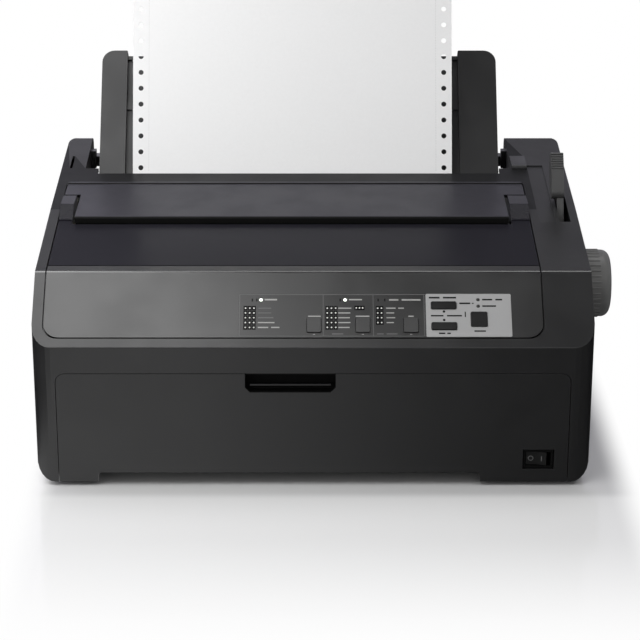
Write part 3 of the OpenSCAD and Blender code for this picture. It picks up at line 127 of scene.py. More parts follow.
# %% Ramps and sums
def graded(n, l, value, start, end, low, high):
    """value from start..end becomes low..high, with soft ends."""
    grade = n.new("ShaderNodeMapRange")
    grade.interpolation_type = "SMOOTHSTEP"
    for socket, number in zip(("From Min", "From Max", "To Min", "To Max"), (start, end, low, high)):
        grade.inputs[socket].default_value = number
    l.new(value, grade.inputs["Value"])
    return grade.outputs["Result"]


def joined(n, l, operation, first, second):
    pair = n.new("ShaderNodeMath")
    pair.operation = operation
    l.new(first, pair.inputs[0])
    l.new(second, pair.inputs[1])
    return pair.outputs[0]


# %% [markdown]
# Dark plastic shows its shape mostly by what it mirrors. Seen from this camera the sloping panel
# mirrors the ceiling, the flat top mirrors the backdrop and the front mirrors the floor. So the
# room has two halves: a cool backdrop that is bright near the horizon and fades upwards, and a
# dimmer side behind the camera. Everything is brighter on the left than on the right.

# %% Room
scene = bpy.context.scene
scene.view_settings.view_transform = "Standard"
world = bpy.data.worlds.new("graded_studio")
scene.world = world
world.use_nodes = True
wn, wl = world.node_tree.nodes, world.node_tree.links
wn.clear()
direction = wn.new("ShaderNodeTexCoord")
split = wn.new("ShaderNodeSeparateXYZ")
wl.new(direction.outputs["Generated"], split.inputs[0])
across = graded(wn, wl, split.outputs["X"], -0.45, 0.45, 1.5, 0.35)


def half_room(colour, start, end, low, high):
    """A background that goes from low to high with height, and falls off to the right."""
    wall = wn.new("ShaderNodeBackground")
    wall.inputs["Color"].default_value = (*colour, 1)
    upward = graded(wn, wl, split.outputs["Z"], start, end, low, high)
    wl.new(joined(wn, wl, "MULTIPLY", upward, across), wall.inputs["Strength"])
    return wall.outputs[0]


halves = wn.new("ShaderNodeMixShader")
wl.new(graded(wn, wl, split.outputs["Y"], -0.25, 0.15, 0.0, 1.0), halves.inputs[0])
wl.new(half_room((1, 1, 1), 0.0, 0.9, 0.70, 0.25), halves.inputs[1])
wl.new(half_room((0.90, 0.88, 1.0), 0.2, 0.72, 0.95, 0.08), halves.inputs[2])
wl.new(halves.outputs[0], wn.new("ShaderNodeOutputWorld").inputs["Surface"])
print("room nodes:", len(wn))

# %% [markdown]
# One large soft lamp hangs low over the left half. Its right-hand edge ends above the middle of the
# machine, so its mirror image fades out along the sloping panel. A weak one fills in from the
# front, and a long one overhead draws the bright bead along the top fold. Two more only light and
# aren't mirrored in the plastic: a small one for the right of the paper, and one for the back.

# %% Lamps
def soft_lamp(name, place, aim, size, watts, mirrored=True):
    data = bpy.data.lights.new(name, "AREA")
    data.shape = "RECTANGLE"
    data.size, data.size_y = size
    data.energy = watts
    lamp = bpy.data.objects.new(name, data)
    lamp.location = place
    lamp.rotation_euler = (Vector(aim) - Vector(place)).to_track_quat("-Z", "Y").to_euler()
    lamp.visible_glossy = mirrored
    scene.collection.objects.link(lamp)
    radiance = watts / (math.pi * size[0] * size[1])
    print(name, "gives", round(radiance, 2), "per square metre and steradian")


soft_lamp("ceiling_left", (-0.455, -0.33, 0.74), (-0.60, -0.41, 0.0), (0.86, 0.76), 7.0)
soft_lamp("front_fill", (0.5, -1.9, 1.3), (0.0, 0.0, 0.15), (0.9, 0.9), 3.0)
soft_lamp("paper_fill", (0.75, -0.35, 0.85), (0.10, 0.05, 0.25), (0.4, 0.4), 2.2, mirrored=False)
soft_lamp("fold_strip", (0.05, 0.40, 1.40), (0.05, -0.10, 0.15), (1.5, 0.5), 6.5)
soft_lamp("rear_fill", (-0.5, 2.0, 0.45), (0.0, 0.15, 0.10), (1.0, 0.6), 16.0, mirrored=False)

# %% [markdown]
# The floor is one large pale sheet with a slight polish. It takes the machine's shadow and gives
# back a faint mirror image of its feet.

# %% Floor sheet
floor_mesh = bpy.data.meshes.new("studio_floor")
bm = bmesh.new()
bmesh.ops.create_grid(bm, x_segments=1, y_segments=1, size=60)
bm.to_mesh(floor_mesh)
bm.free()
floor = bpy.data.objects.new("studio_floor", floor_mesh)
scene.collection.objects.link(floor)
floor_finish = bpy.data.materials.new("pale_floor")
floor_finish.use_nodes = True
floor_mesh.materials.append(floor_finish)
fn, fl = floor_finish.node_tree.nodes, floor_finish.node_tree.links
sheet = fn["Principled BSDF"]
sheet.inputs["Base Color"].default_value = (0.66, 0.66, 0.66, 1)
sheet.inputs["Specular IOR Level"].default_value = 1.0
sheet.inputs["Roughness"].default_value = 0.07
print("floor reaches", max(v.co.x for v in floor_mesh.vertices), "metres each way")

# %% [markdown]
# A picture on plain white has no horizon, so the real floor is kept only round the machine. The
# mask is a product of ramps, in metres: one across the width, and four along the depth, which fade
# the floor out far in front, thin it just before the front edge, bring it back further out, and
# fade it out under the machine.

# %% Where the floor is kept
spot = fn.new("ShaderNodeTexCoord")
sides = fn.new("ShaderNodeSeparateXYZ")
fl.new(spot.outputs["Object"], sides.inputs[0])
floor_x, floor_y = sides.outputs["X"], sides.outputs["Y"]
width = fn.new("ShaderNodeMath")
width.operation = "ABSOLUTE"
fl.new(floor_x, width.inputs[0])
kept = graded(fn, fl, width.outputs[0], 0.198, 0.224, 1.0, 0.0)
depth_ramps = [(-0.42, -0.17, 0.0, 1.0), (-0.176, -0.163, 0.72, 1.0), (-0.25, -0.185, 1.22, 1.0),
               (0.0, 0.2, 1.0, 0.0)]
for ramp in depth_ramps:
    kept = joined(fn, fl, "MULTIPLY", kept, graded(fn, fl, floor_y, *ramp))
print("ramps in the mask:", 1 + len(depth_ramps))

# %% [markdown]
# Everywhere else the camera, and only the camera, sees the floor lifted to plain white. The light
# path tells which rays come from the camera, so the extra white lights nothing.

# %% Plain white for the camera
lift = fn.new("ShaderNodeMath")
lift.operation = "SUBTRACT"
lift.inputs[0].default_value = 1.0
fl.new(kept, lift.inputs[1])
floor_path = fn.new("ShaderNodeLightPath")
white = fn.new("ShaderNodeEmission")
white.inputs["Strength"].default_value = 1.0
seen = fn.new("ShaderNodeMixShader")
fl.new(joined(fn, fl, "MULTIPLY", lift.outputs[0], floor_path.outputs["Is Camera Ray"]), seen.inputs[0])
fl.new(sheet.outputs[0], seen.inputs[1])
fl.new(white.outputs[0], seen.inputs[2])
print("white's strength:", white.inputs["Strength"].default_value)

# %% [markdown]
# In mirror images the floor before the machine is bright on the left and falls off to the right,
# like the rest of the room. A band of plain grey behind the machine keeps the rear wall from being
# lost in the dark.

# %% What the plastic mirrors of the floor
leftward = graded(fn, fl, floor_x, -0.26, 0.20, 1.1, 0.08)
far_left = graded(fn, fl, floor_x, -0.36, -0.25, 0.1, 1.0)
in_front = graded(fn, fl, floor_y, -0.17, -0.10, 1.0, 0.1)
before = joined(fn, fl, "MULTIPLY", leftward, joined(fn, fl, "MULTIPLY", far_left, in_front))
behind = joined(fn, fl, "MULTIPLY", graded(fn, fl, floor_y, 0.20, 0.30, 0.0, 0.4),
                graded(fn, fl, floor_y, 0.40, 0.50, 1.0, 0.0))
mirrored = fn.new("ShaderNodeEmission")
fl.new(joined(fn, fl, "ADD", before, behind), mirrored.inputs["Strength"])
mirror_mix = fn.new("ShaderNodeMixShader")
fl.new(joined(fn, fl, "MAXIMUM", floor_path.outputs["Is Glossy Ray"],
              floor_path.outputs["Is Transmission Ray"]), mirror_mix.inputs[0])
fl.new(seen.outputs[0], mirror_mix.inputs[1])
fl.new(mirrored.outputs[0], mirror_mix.inputs[2])
fl.new(mirror_mix.outputs[0], fn["Material Output"].inputs["Surface"])
print("floor nodes:", len(fn))

# %% [markdown]
# A finish is a chain of small steps, and most surfaces share the same few: a noise, a narrow range
# made from it, a shift between two tones, and a tilt of the surface. A noise seldom leaves its
# middle, so only that part is spread over the range.

# %% Steps of a finish
NOISE_LOW, NOISE_HIGH = 0.3, 0.7


def blank(name):
    finish = bpy.data.materials.new(name)
    finish.use_nodes = True
    n, l = finish.node_tree.nodes, finish.node_tree.links
    return finish, n, l, n["Principled BSDF"]


def noise(n, l, scale, detail=2.0, rough=0.5, stretch=None):
    place = n.new("ShaderNodeTexCoord")
    tex = n.new("ShaderNodeTexNoise")
    tex.inputs["Scale"].default_value = scale
    tex.inputs["Detail"].default_value = detail
    tex.inputs["Roughness"].default_value = rough
    source = place.outputs["Object"]
    if stretch:
        turn = n.new("ShaderNodeMapping")
        turn.inputs["Scale"].default_value = stretch
        l.new(source, turn.inputs["Vector"])
        source = turn.outputs["Vector"]
    l.new(source, tex.inputs["Vector"])
    return tex.outputs["Fac"]


def ranged(n, l, value, low, high):
    return graded(n, l, value, NOISE_LOW, NOISE_HIGH, low, high)


def two_tone(n, l, value, dark, light):
    mixer = n.new("ShaderNodeMix")
    mixer.data_type = "RGBA"
    mixer.inputs[6].default_value = (*dark, 1)
    mixer.inputs[7].default_value = (*light, 1)
    l.new(value, mixer.inputs[0])
    return mixer.outputs[2]


def bumped(n, l, value, depth):
    tilt = n.new("ShaderNodeBump")
    tilt.inputs["Distance"].default_value = depth
    tilt.inputs["Strength"].default_value = 1.0
    l.new(value, tilt.inputs["Height"])
    return tilt.outputs["Normal"]


# %% [markdown]
# Nearly every surface here is injection-moulded, so one recipe makes most of the finishes. A fine
# noise tilts the surface as the etched steel of the mould does, a broad one shifts the colour by a
# few percent, and a third one varies the roughness a little, where hands and dust have been.

# %% Moulded plastic
TINT_SCALE, SHEEN_SCALE = 14, 30


def moulded(name, colour, roughness, grain=0.5, depth=0.00003, spread=0.08, specular=0.5):
    """grain is the etched texture's size in millimetres, and depth its height in metres."""
    finish, n, l, shader = blank(name)
    dark = [c * (1 - spread) for c in colour]
    light = [c * (1 + spread) for c in colour]
    sheen = ranged(n, l, noise(n, l, SHEEN_SCALE, 4), roughness - 0.04, roughness + 0.05)
    l.new(two_tone(n, l, noise(n, l, TINT_SCALE, 3), dark, light), shader.inputs["Base Color"])
    l.new(sheen, shader.inputs["Roughness"])
    l.new(bumped(n, l, noise(n, l, 1000 / grain, 3, 0.6), depth), shader.inputs["Normal"])
    shader.inputs["Specular IOR Level"].default_value = specular
    return finish


charcoal = moulded("charcoal_case", (0.011, 0.011, 0.0115), 0.36, specular=0.54)
fascia_grey = moulded("fascia_charcoal", (0.013, 0.013, 0.013), 0.36, specular=0.73)
slate = moulded("slate_cover", (0.032, 0.031, 0.038), 0.40, specular=0.12)
guide_black = moulded("guide_black", (0.010, 0.010, 0.0105), 0.42)
key_grey = moulded("key_charcoal", (0.034, 0.034, 0.034), 0.38, grain=0.3)
knob_grey = moulded("knob_grey", (0.145, 0.145, 0.142), 0.40, grain=0.4)
lever_grey = moulded("lever_grey", (0.052, 0.052, 0.052), 0.42, grain=0.4)
inner_black = moulded("inner_black", (0.010, 0.010, 0.010), 0.5)
acetal = moulded("natural_acetal", (0.62, 0.60, 0.52), 0.35, grain=1.2, depth=0.00001)
# This near-black, barely mirroring finish is painted shade inside the finger grip and on the eject
# cover's front lip; it is also the finish of the power switch's frame.
black_and_painted_shade = moulded("black_and_painted_shade", (0.004, 0.004, 0.004), 0.6, specular=0.1)
polished = moulded("polished_fold", (0.013, 0.013, 0.0135), 0.22, depth=0.000002, specular=1.0)
shelf_matt = moulded("matt_shelf", (0.010, 0.010, 0.011), 0.45, specular=0.14)
rocker_black = moulded("rocker_black", (0.008, 0.008, 0.008), 0.34, grain=0.4, specular=0.35)
print("nodes in the charcoal finish:", len(charcoal.node_tree.nodes))

# %% [markdown]
# The printer cover is a smoked sheet that lets a little light through, so the works show under it
# very faintly. A dark tint with a slight transparency gives that. Its mould is polished, so its
# roughness is low and the same all over, and only its tint varies.

# %% Smoked cover
SMOKE_DARK, SMOKE_LIGHT = (0.011, 0.0105, 0.014), (0.014, 0.0135, 0.018)
smoked, n, l, shader = blank("smoked_cover")
l.new(two_tone(n, l, noise(n, l, TINT_SCALE, 3), SMOKE_DARK, SMOKE_LIGHT), shader.inputs["Base Color"])
shader.inputs["Roughness"].default_value = 0.275
shader.inputs["Specular IOR Level"].default_value = 0.09
l.new(bumped(n, l, noise(n, l, 1800, 2), 0.000002), shader.inputs["Normal"])
shader.inputs["Alpha"].default_value = 0.93
print("smoked cover lets through", round(1 - shader.inputs["Alpha"].default_value, 2))

# %% [markdown]
# The control panel's film is printed from behind: a dark field with a pale one beside it. Printed
# film has a broader, flatter texture than the plastic round it, like a faint orange peel. The inks
# on it are matt, and there is one for each strength of mark.

# %% Printed film and inks
film_dark = moulded("film_dark", (0.012, 0.012, 0.012), 0.36, grain=2.2, depth=0.00001, specular=0.64)
film_pale = moulded("film_pale", (0.30, 0.30, 0.30), 0.45, grain=2.2, depth=0.00001, spread=0.02)
ink_pale = moulded("ink_pale", (0.30, 0.30, 0.29), 0.6, grain=1.5, depth=0.00001, spread=0.05)
ink_white = moulded("ink_white", (0.62, 0.62, 0.60), 0.6, grain=1.5, depth=0.00001, spread=0.05)
ink_dim = moulded("ink_dim", (0.10, 0.10, 0.10), 0.6, grain=1.5, depth=0.00001, spread=0.05)
ink_black = moulded("ink_black", (0.006, 0.006, 0.006), 0.6, grain=1.5, depth=0.00001, specular=0.08)
print("inks:", ", ".join(ink.name for ink in (ink_pale, ink_white, ink_dim, ink_black)))

# %% [markdown]
# Steel is either galvanised sheet, with the faint spangle of its zinc, or ground bar, whose fine
# rings run round the bar. Both come from noise, and for the bar it is squeezed along X, the way
# that the bars here lie.

# %% Metals
ALONG_BAR = (6, 1, 1)


def galvanised(name, colour, rough):
    finish, n, l, shader = blank(name)
    dull = [c * 0.86 for c in colour]
    shader.inputs["Metallic"].default_value = 1.0
    l.new(two_tone(n, l, noise(n, l, 90, 1), dull, colour), shader.inputs["Base Color"])
    l.new(ranged(n, l, noise(n, l, 130, 2), rough - 0.06, rough + 0.1), shader.inputs["Roughness"])
    l.new(bumped(n, l, noise(n, l, 700, 3), 0.00001), shader.inputs["Normal"])
    return finish


def ground(name, colour, rough):
    finish, n, l, shader = blank(name)
    dull = [c * 0.9 for c in colour]
    tint, sheen, rings = [noise(n, l, scale, 2, stretch=ALONG_BAR) for scale in (50, 220, 600)]
    shader.inputs["Metallic"].default_value = 1.0
    l.new(two_tone(n, l, tint, dull, colour), shader.inputs["Base Color"])
    l.new(ranged(n, l, sheen, rough - 0.04, rough + 0.06), shader.inputs["Roughness"])
    l.new(bumped(n, l, rings, 0.000006), shader.inputs["Normal"])
    return finish


zinc = galvanised("galvanised_steel", (0.56, 0.57, 0.59), 0.38)
bar_steel = ground("ground_bar", (0.62, 0.62, 0.64), 0.2)
turned_brass = ground("turned_brass", (0.68, 0.50, 0.22), 0.28)
head_cast = galvanised("cast_head", (0.12, 0.12, 0.13), 0.5)
print("nodes in the ground bar's finish:", len(bar_steel.node_tree.nodes))

# %% [markdown]
# Ground rubber is matt with a very fine nap, so the moulded recipe makes it with a high roughness.
# Paper has hardly any sheen. It is bright, and its fibres show as a fine uneven tone and a slight
# tilt, finer than a millimetre.

# %% Rubber and paper
PAPER_DARK, PAPER_LIGHT = (0.80, 0.80, 0.80), (0.85, 0.85, 0.85)
rubber = moulded("ground_rubber", (0.016, 0.016, 0.016), 0.72, grain=0.25, depth=0.00004, specular=0.3)
paper, n, l, shader = blank("copy_paper")
l.new(two_tone(n, l, noise(n, l, 420, 5, 0.7), PAPER_DARK, PAPER_LIGHT), shader.inputs["Base Color"])
l.new(ranged(n, l, noise(n, l, 60, 2), 0.82, 0.9), shader.inputs["Roughness"])
l.new(bumped(n, l, noise(n, l, 1500, 4, 0.7), 0.00002), shader.inputs["Normal"])
shader.inputs["Specular IOR Level"].default_value = 0.25
print("nodes in the paper's finish:", len(n))

# %% [markdown]
# A circuit board is green lacquer over copper tracks. A brick pattern suggests the tracks, because
# they too run in straight lines with narrow gaps, and the same pattern lifts them a little.

# %% Circuit board
board, n, l, shader = blank("circuit_lacquer")
place = n.new("ShaderNodeTexCoord")
tracks = n.new("ShaderNodeTexBrick")
tracks.inputs["Scale"].default_value = 90
tracks.inputs["Mortar Size"].default_value = 0.06
tracks.inputs["Color1"].default_value = (0.012, 0.075, 0.03, 1)
tracks.inputs["Color2"].default_value = (0.016, 0.095, 0.04, 1)
tracks.inputs["Mortar"].default_value = (0.05, 0.16, 0.07, 1)
l.new(place.outputs["Object"], tracks.inputs["Vector"])
l.new(tracks.outputs["Color"], shader.inputs["Base Color"])
l.new(ranged(n, l, noise(n, l, 80, 2), 0.22, 0.34), shader.inputs["Roughness"])
l.new(bumped(n, l, tracks.outputs["Fac"], 0.00003), shader.inputs["Normal"])
print("nodes in the board's finish:", len(n))

# %% [markdown]
# The ribbon is a woven tape soaked in ink. A wave at the pitch of its threads gives both the tone
# and the weave's height.

# %% Inked ribbon
INK_DARK, INK_LIGHT = (0.006, 0.006, 0.01), (0.014, 0.014, 0.02)
ribbon_cloth, n, l, shader = blank("inked_cloth")
place = n.new("ShaderNodeTexCoord")
weave = n.new("ShaderNodeTexWave")
weave.inputs["Scale"].default_value = 900
weave.inputs["Distortion"].default_value = 0.6
l.new(place.outputs["Object"], weave.inputs["Vector"])
l.new(two_tone(n, l, weave.outputs["Fac"], INK_DARK, INK_LIGHT), shader.inputs["Base Color"])
l.new(ranged(n, l, noise(n, l, 200, 2), 0.55, 0.75), shader.inputs["Roughness"])
l.new(bumped(n, l, weave.outputs["Fac"], 0.00004), shader.inputs["Normal"])
print("nodes in the ribbon's finish:", len(n))

# %% [markdown]
# Now every CAD node gets its finish. The table is read by node, and a node with nothing of its own
# to say takes the finish of its slot in the record.

# %% Give each node its finish
finish_of_slot = {
    "case_plastic": charcoal, "cover_plastic": slate, "smoked_plastic": smoked, "panel_dark": film_dark,
    "key_plastic": key_grey, "knob_plastic": knob_grey, "black_plastic": inner_black,
    "gear_plastic": acetal, "rubber": rubber, "frame_steel": zinc, "shaft_steel": bar_steel,
    "head_alloy": head_cast, "brass": turned_brass, "circuit": board, "ribbon_cloth": ribbon_cloth,
    "paper": paper,
}
finish_of_node = {
    "control_fascia": fascia_grey, "paper_guide": guide_black, "edge_guide_left": guide_black,
    "edge_guide_right": guide_black, "paper_release_lever": lever_grey, "power_rocker": rocker_black,
    "power_switch_frame": black_and_painted_shade, "button_load": rocker_black, "button_feed": rocker_black,
    "button_pause": rocker_black,
}
for name, node in nodes.items():
    finish = finish_of_node.get(name) or finish_of_slot[slot_of[name]]
    node.data.materials.clear()
    node.data.materials.append(finish)
print("finished nodes:", len(nodes))

# %% [markdown]
# A mould never leaves a knife edge, and the thin bright line along each softened edge is what makes
# dark plastic readable. Only the narrow faces of a softened shell are shaded smooth, those of its
# rounded edges and of its own curves, so that the large flat ones stay flat. A face is narrow when
# it has few corners and little area for its length round.

# %% Which faces are shaded smooth
CREASE_TURN = math.radians(32)
MOST_CORNERS, NARROW = 8, 0.004


def shade(bm, rounded, curved):
    for f in bm.faces:
        narrow = len(f.verts) <= MOST_CORNERS and f.calc_area() < NARROW * f.calc_perimeter()
        f.smooth = narrow and (f in rounded or bool(f[curved]))
    for e in bm.edges:
        e.smooth = e.calc_face_angle(0) < CREASE_TURN


# %% [markdown]
# The CAD solids have sharp edges and are cut into facets. So each shell in view is copied, its flat
# facets are merged, and its sharp edges are rounded by a few tenths of a millimetre. The copy then
# stands in for the node. Two steps round each edge, which is enough at this size.

# %% Soften a shell
FLAT_TURN, EDGE_TURN = math.radians(0.6), math.radians(26)
WELD, EDGE_STEPS, NO_NEIGHBOUR = 1e-6, 2, 9


def soften(name, width):
    """A copy of the node in its place, with its edges rounded by width in millimetres."""
    mesh = nodes[name].data.copy()
    mesh.name = name + "_moulded"
    bm = bmesh.new()
    bm.from_mesh(mesh)
    bmesh.ops.remove_doubles(bm, verts=bm.verts, dist=WELD)
    bmesh.ops.dissolve_limit(bm, angle_limit=FLAT_TURN, verts=bm.verts, edges=bm.edges)
    turn = {e: e.calc_face_angle(0) for e in bm.edges if len(e.link_faces) == 2}
    sharp = [e for e, t in turn.items() if t > EDGE_TURN]
    curved = bm.faces.layers.int.new("curved")
    for f in bm.faces:
        f[curved] = any(FLAT_TURN < turn.get(e, NO_NEIGHBOUR) < EDGE_TURN for e in f.edges)
    bevel = bmesh.ops.bevel(bm, geom=sharp, offset=width * MM, offset_type="OFFSET",
                            segments=EDGE_STEPS, profile=0.5, affect="EDGES", clamp_overlap=True)
    shade(bm, set(bevel["faces"]), curved)
    bm.to_mesh(mesh)
    bm.free()
    piece = bpy.data.objects.new(name + "_moulded", mesh)
    scene.collection.objects.link(piece)
    smoother = piece.modifiers.new("even_shading", "WEIGHTED_NORMAL")
    smoother.keep_sharp = True
    smoother.weight = 100
    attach(piece, body_of[name])
    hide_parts(name)
    return piece


# %% Soften the shells in view
edge_width = {
    "upper_case": 0.5, "lower_case": 0.5, "front_cover": 0.45, "control_fascia": 0.3,
    "printer_cover": 0.6, "eject_cover": 0.8, "paper_guide": 0.45, "platen_knob": 0.25,
    "paper_release_lever": 0.4, "power_switch_frame": 0.2, "power_rocker": 0.25,
    "edge_guide_left": 0.3, "edge_guide_right": 0.3, "button_left": 0.3, "button_middle": 0.3,
    "button_right": 0.3, "button_load": 0.3, "button_feed": 0.3, "button_pause": 0.3,
    "rubber_feet": 0.4, "ribbon_cartridge": 0.4, "panel_overlay": 0.05,
}
shell = {name: soften(name, width) for name, width in edge_width.items()}
print("softened shells:", len(shell))

# %% [markdown]
# Some shells take a second material on some faces, and each patch is picked by where its faces lie
# and which way they look. The panel film is one sheet printed dark on one part and pale on the
# other, and the inside of the finger grip, a deep slot, is painted near black as painted shade.

# %% Pick faces by place
def paint(piece, finish, chosen):
    piece.data.materials.append(finish)
    last = len(piece.data.materials) - 1
    count = 0
    for f in piece.data.polygons:
        if chosen(f.center, f.normal):
            f.material_index = last
            count += 1
    print(piece.name, "faces in", finish.name + ":", count)


def within(point, low, high):
    return all(a < p < b for a, p, b in zip(low, point, high))


film_change = on_slope(80.2, 20).x
grip_shade_low, grip_shade_high = at(-51.5, 0.9, 68), at(19, 17, 92)
paint(shell["panel_overlay"], film_pale, lambda c, d: c.x > film_change)
# Painted shade: the faces inside the finger grip take the near-black finish.
paint(shell["front_cover"], black_and_painted_shade, lambda c, d: within(c, grip_shade_low, grip_shade_high))

# %% [markdown]
# The shelf in front of the paper is left coarse, and the eject cover's front lip is painted near black
# as painted shade.
# The top fold, where the case and the panel turn over, is rubbed smooth by the mould's own polish,
# so a bright bead runs along it.

# %% Shelf, lip and polished fold
FOLD_REACH, LEAN_LOW, LEAN_HIGH = 5, 11, 40
shelf_low, shelf_high = at(-182, 200, 164), at(150, 226, 175)


def near_fold(c, d):
    """Is a face within a few millimetres of the top fold, and does it lean as a rounded one does?"""
    gap = (c - at(0, PANEL_RUN, LOW_FOLD_Z + PANEL_RISE)) / MM
    lean = math.degrees(math.atan2(-d.y, d.z))
    return math.hypot(gap.y, gap.z) < FOLD_REACH and LEAN_LOW < lean < LEAN_HIGH and abs(d.x) < 0.3


paint(shell["upper_case"], shelf_matt, lambda c, d: d.z > 0.9 and within(c, shelf_low, shelf_high))
# Painted shade: the eject cover's forward-looking faces, its front lip, take the near-black finish.
paint(shell["eject_cover"], black_and_painted_shade, lambda c, d: d.y < -0.6 and abs(d.x) < 0.3)
for name in ("upper_case", "control_fascia"):
    paint(shell[name], polished, near_fold)

# %% [markdown]
# The panel's print is all small marks: a fine frame, dividers, black squares with a pale dot in each
# for the choices that a key steps through, and short dashes in place of words. Real screen print
# stands a few hundredths of a millimetre above the film, so each mark is a very thin tile, placed
# in millimetres across and up the panel.

# %% Tiles on the panel
FILM_N, INK_RISE, WORD_GAP = 0.0, 0.04, 0.28
BOX_FACES = ((0, 2, 3, 1), (4, 5, 7, 6), (0, 1, 5, 4), (2, 6, 7, 3), (0, 4, 6, 2), (1, 3, 7, 5))


def tile(bm, x, s):
    levels = (FILM_N, FILM_N + INK_RISE)
    corners = [bm.verts.new(on_slope(a, b, c)) for c in levels for b in s for a in x]
    for face in BOX_FACES:
        bm.faces.new([corners[i] for i in face])


def dashes(bm, x, s, height=1.1, words=(1.0,)):
    """One printed line between x[0] and x[1], broken into dashes of the given relative lengths."""
    unit = (x[1] - x[0]) / (sum(words) + WORD_GAP * (len(words) - 1))
    start = x[0]
    for word in words:
        tile(bm, (start, start + unit * word), (s - height * 0.4, s + height * 0.4))
        start += unit * (word + WORD_GAP)


# %% [markdown]
# Round marks need rings of points. A dot is a ring on the film, a ring just above it, the band of
# faces between the two and a face that closes the top. A lens is made from the same two helpers.

# %% Rings and dots on the panel
DOT_RISE = 0.06


def ring(bm, x, s, radius, n, sides):
    turns = [2 * math.pi * i / sides for i in range(sides)]
    return [bm.verts.new(on_slope(x + radius * math.cos(a), s + radius * math.sin(a), n)) for a in turns]


def band(bm, lower, upper):
    for i in range(len(lower)):
        j = (i + 1) % len(lower)
        bm.faces.new([lower[i], lower[j], upper[j], upper[i]])


def dot(bm, x, s, radius, low=FILM_N, sides=14):
    top = ring(bm, x, s, radius, FILM_N + DOT_RISE, sides)
    foot = ring(bm, x, s, radius, low, sides)
    bm.faces.new(top)
    band(bm, foot, top)


# %% [markdown]
# A key steps through a short list of choices, and each choice is a column or a row of black squares
# with a pale dot in each. The places are a few columns over shared rows, so they come from loops.
# Small upright ticks stand beside the headings above them.

# %% Choice squares and dots
ROWS = [31.7, 27.85, 24.0, 20.1, 16.2]
choice = [(x, s) for x in (-48.4, -45.4, -42.4) for s in ROWS]
choice += [(x, s) for x in (10.1, 13.1, 16.1) for s in ROWS]
choice += [(x, 31.9) for x in (30.9, 33.2, 35.4)]
choice += [(x, s) for x in (46.2, 48.9) for s in ROWS[:4]]
SQUARE_X, SQUARE_S, DOT_RADIUS, DOT_FOOT = 1.4, 1.8, 0.58, 0.02
TICK_HALF, TICK_SPAN = 0.45, (37.2, 39.4)


def choice_squares(bm):
    for x, s in choice:
        tile(bm, (x - SQUARE_X, x + SQUARE_X), (s - SQUARE_S, s + SQUARE_S))
    for x in (-43.6, -40.4, 46.6, 51.4, 19.4):
        tile(bm, (x - TICK_HALF, x + TICK_HALF), TICK_SPAN)


def choice_dots(bm):
    for x, s in choice:
        dot(bm, x, s, DOT_RADIUS, FILM_N + DOT_FOOT)


collect("choice_squares", choice_squares, ink_black, "case")
collect("choice_dots", choice_dots, ink_white, "case")
print("choice dots:", len(choice))

# %% [markdown]
# The words of the panel are left as dashes of about their length, pale for headings and choices
# and dim for the rest. A fine frame and dividers part the groups of keys.

# %% Pale dashes on the dark film
def pale_marks(bm):
    dashes(bm, (-34.8, -25.9), 38.6, 1.5)
    dashes(bm, (25.7, 35.0), 38.6, 1.3)
    dashes(bm, (54.4, 77.0), 38.4, 1.5, (0.8, 1.6))
    dashes(bm, (-39.5, -27.6), ROWS[3], 1.2)
    dashes(bm, (-39.5, -24.0), ROWS[4], 1.2, (1.0, 0.8))
    dashes(bm, (52.2, 65.0), ROWS[0], 1.2, (1.0, 0.6))
    for s, end in zip(ROWS, (27.3, 26.6, 26.2, 26.6, 26.0)):
        dashes(bm, (18.0, end), s)
    for s, end in zip(ROWS[1:4], (58.0, 58.6, 57.6)):
        dashes(bm, (52.4, end), s, 1.0)
    for x in ((-3.7, 5.4), (30.4, 40.2), (68.0, 71.8)):
        dashes(bm, x, 25.2)
    for x in (0.6, 35.4, 69.8):
        tile(bm, (x - 0.7, x + 0.7), (10.4, 11.0))


collect("pale_print", pale_marks, ink_pale, "case")


# %% Dim dashes, frame and dividers
def dim_marks(bm):
    dashes(bm, (-39.5, -28.4), ROWS[2])
    for s in ROWS[:2]:
        dashes(bm, (-39.3, -30.0), s, 0.8)
    dashes(bm, (13.4, 21.4), 11.0, 1.0)
    dashes(bm, (45.5, 60.0), 11.0, 1.0, (0.6, 1.0))
    for x in ((-52.9, -52.45), (7.0, 7.35), (42.8, 43.15), (79.2, 79.65)):
        tile(bm, x, (9.4, 42.6))
    for s in ((9.1, 9.45), (42.45, 42.9)):
        tile(bm, (-52.9, 79.65), s)


collect("dim_print", dim_marks, ink_dim, "case")


# %% Black marks on the pale film
def dark_marks(bm):
    dashes(bm, (83.0, 102.6), 40.2, 1.6, (0.9, 1.1))
    dashes(bm, (104.8, 112.6), 35.6, 1.5)
    dashes(bm, (84.2, 106.4), 25.6, 1.4, (1.0, 1.2))
    dashes(bm, (89.6, 98.0), 11.5, 1.4, (0.9, 0.5))
    dashes(bm, (114.9, 123.0), 13.3, 1.4)
    dashes(bm, (121.2, 135.6), 38.6, 1.5, (0.9, 0.6))
    dashes(bm, (121.2, 131.0), 33.4, 1.5)
    for s in (29.0, 22.2):
        dot(bm, 93.6, s, 0.95)
    tile(bm, (108.4, 109.2), (24.6, 28.8))
    tile(bm, (113.8, 115.0), (35.2, 36.0))


collect("dark_print", dark_marks, ink_black, "case")

# %% [markdown]
# Each indicator is a light pipe that ends in a small lens on the film's face. Two of them are lit.
# A lit lens is a little bright dome with a glow of its own, and an unlit one is the same dome in
# smoky plastic. A dome is a stack of rings that shrink as they rise, closed by a point.

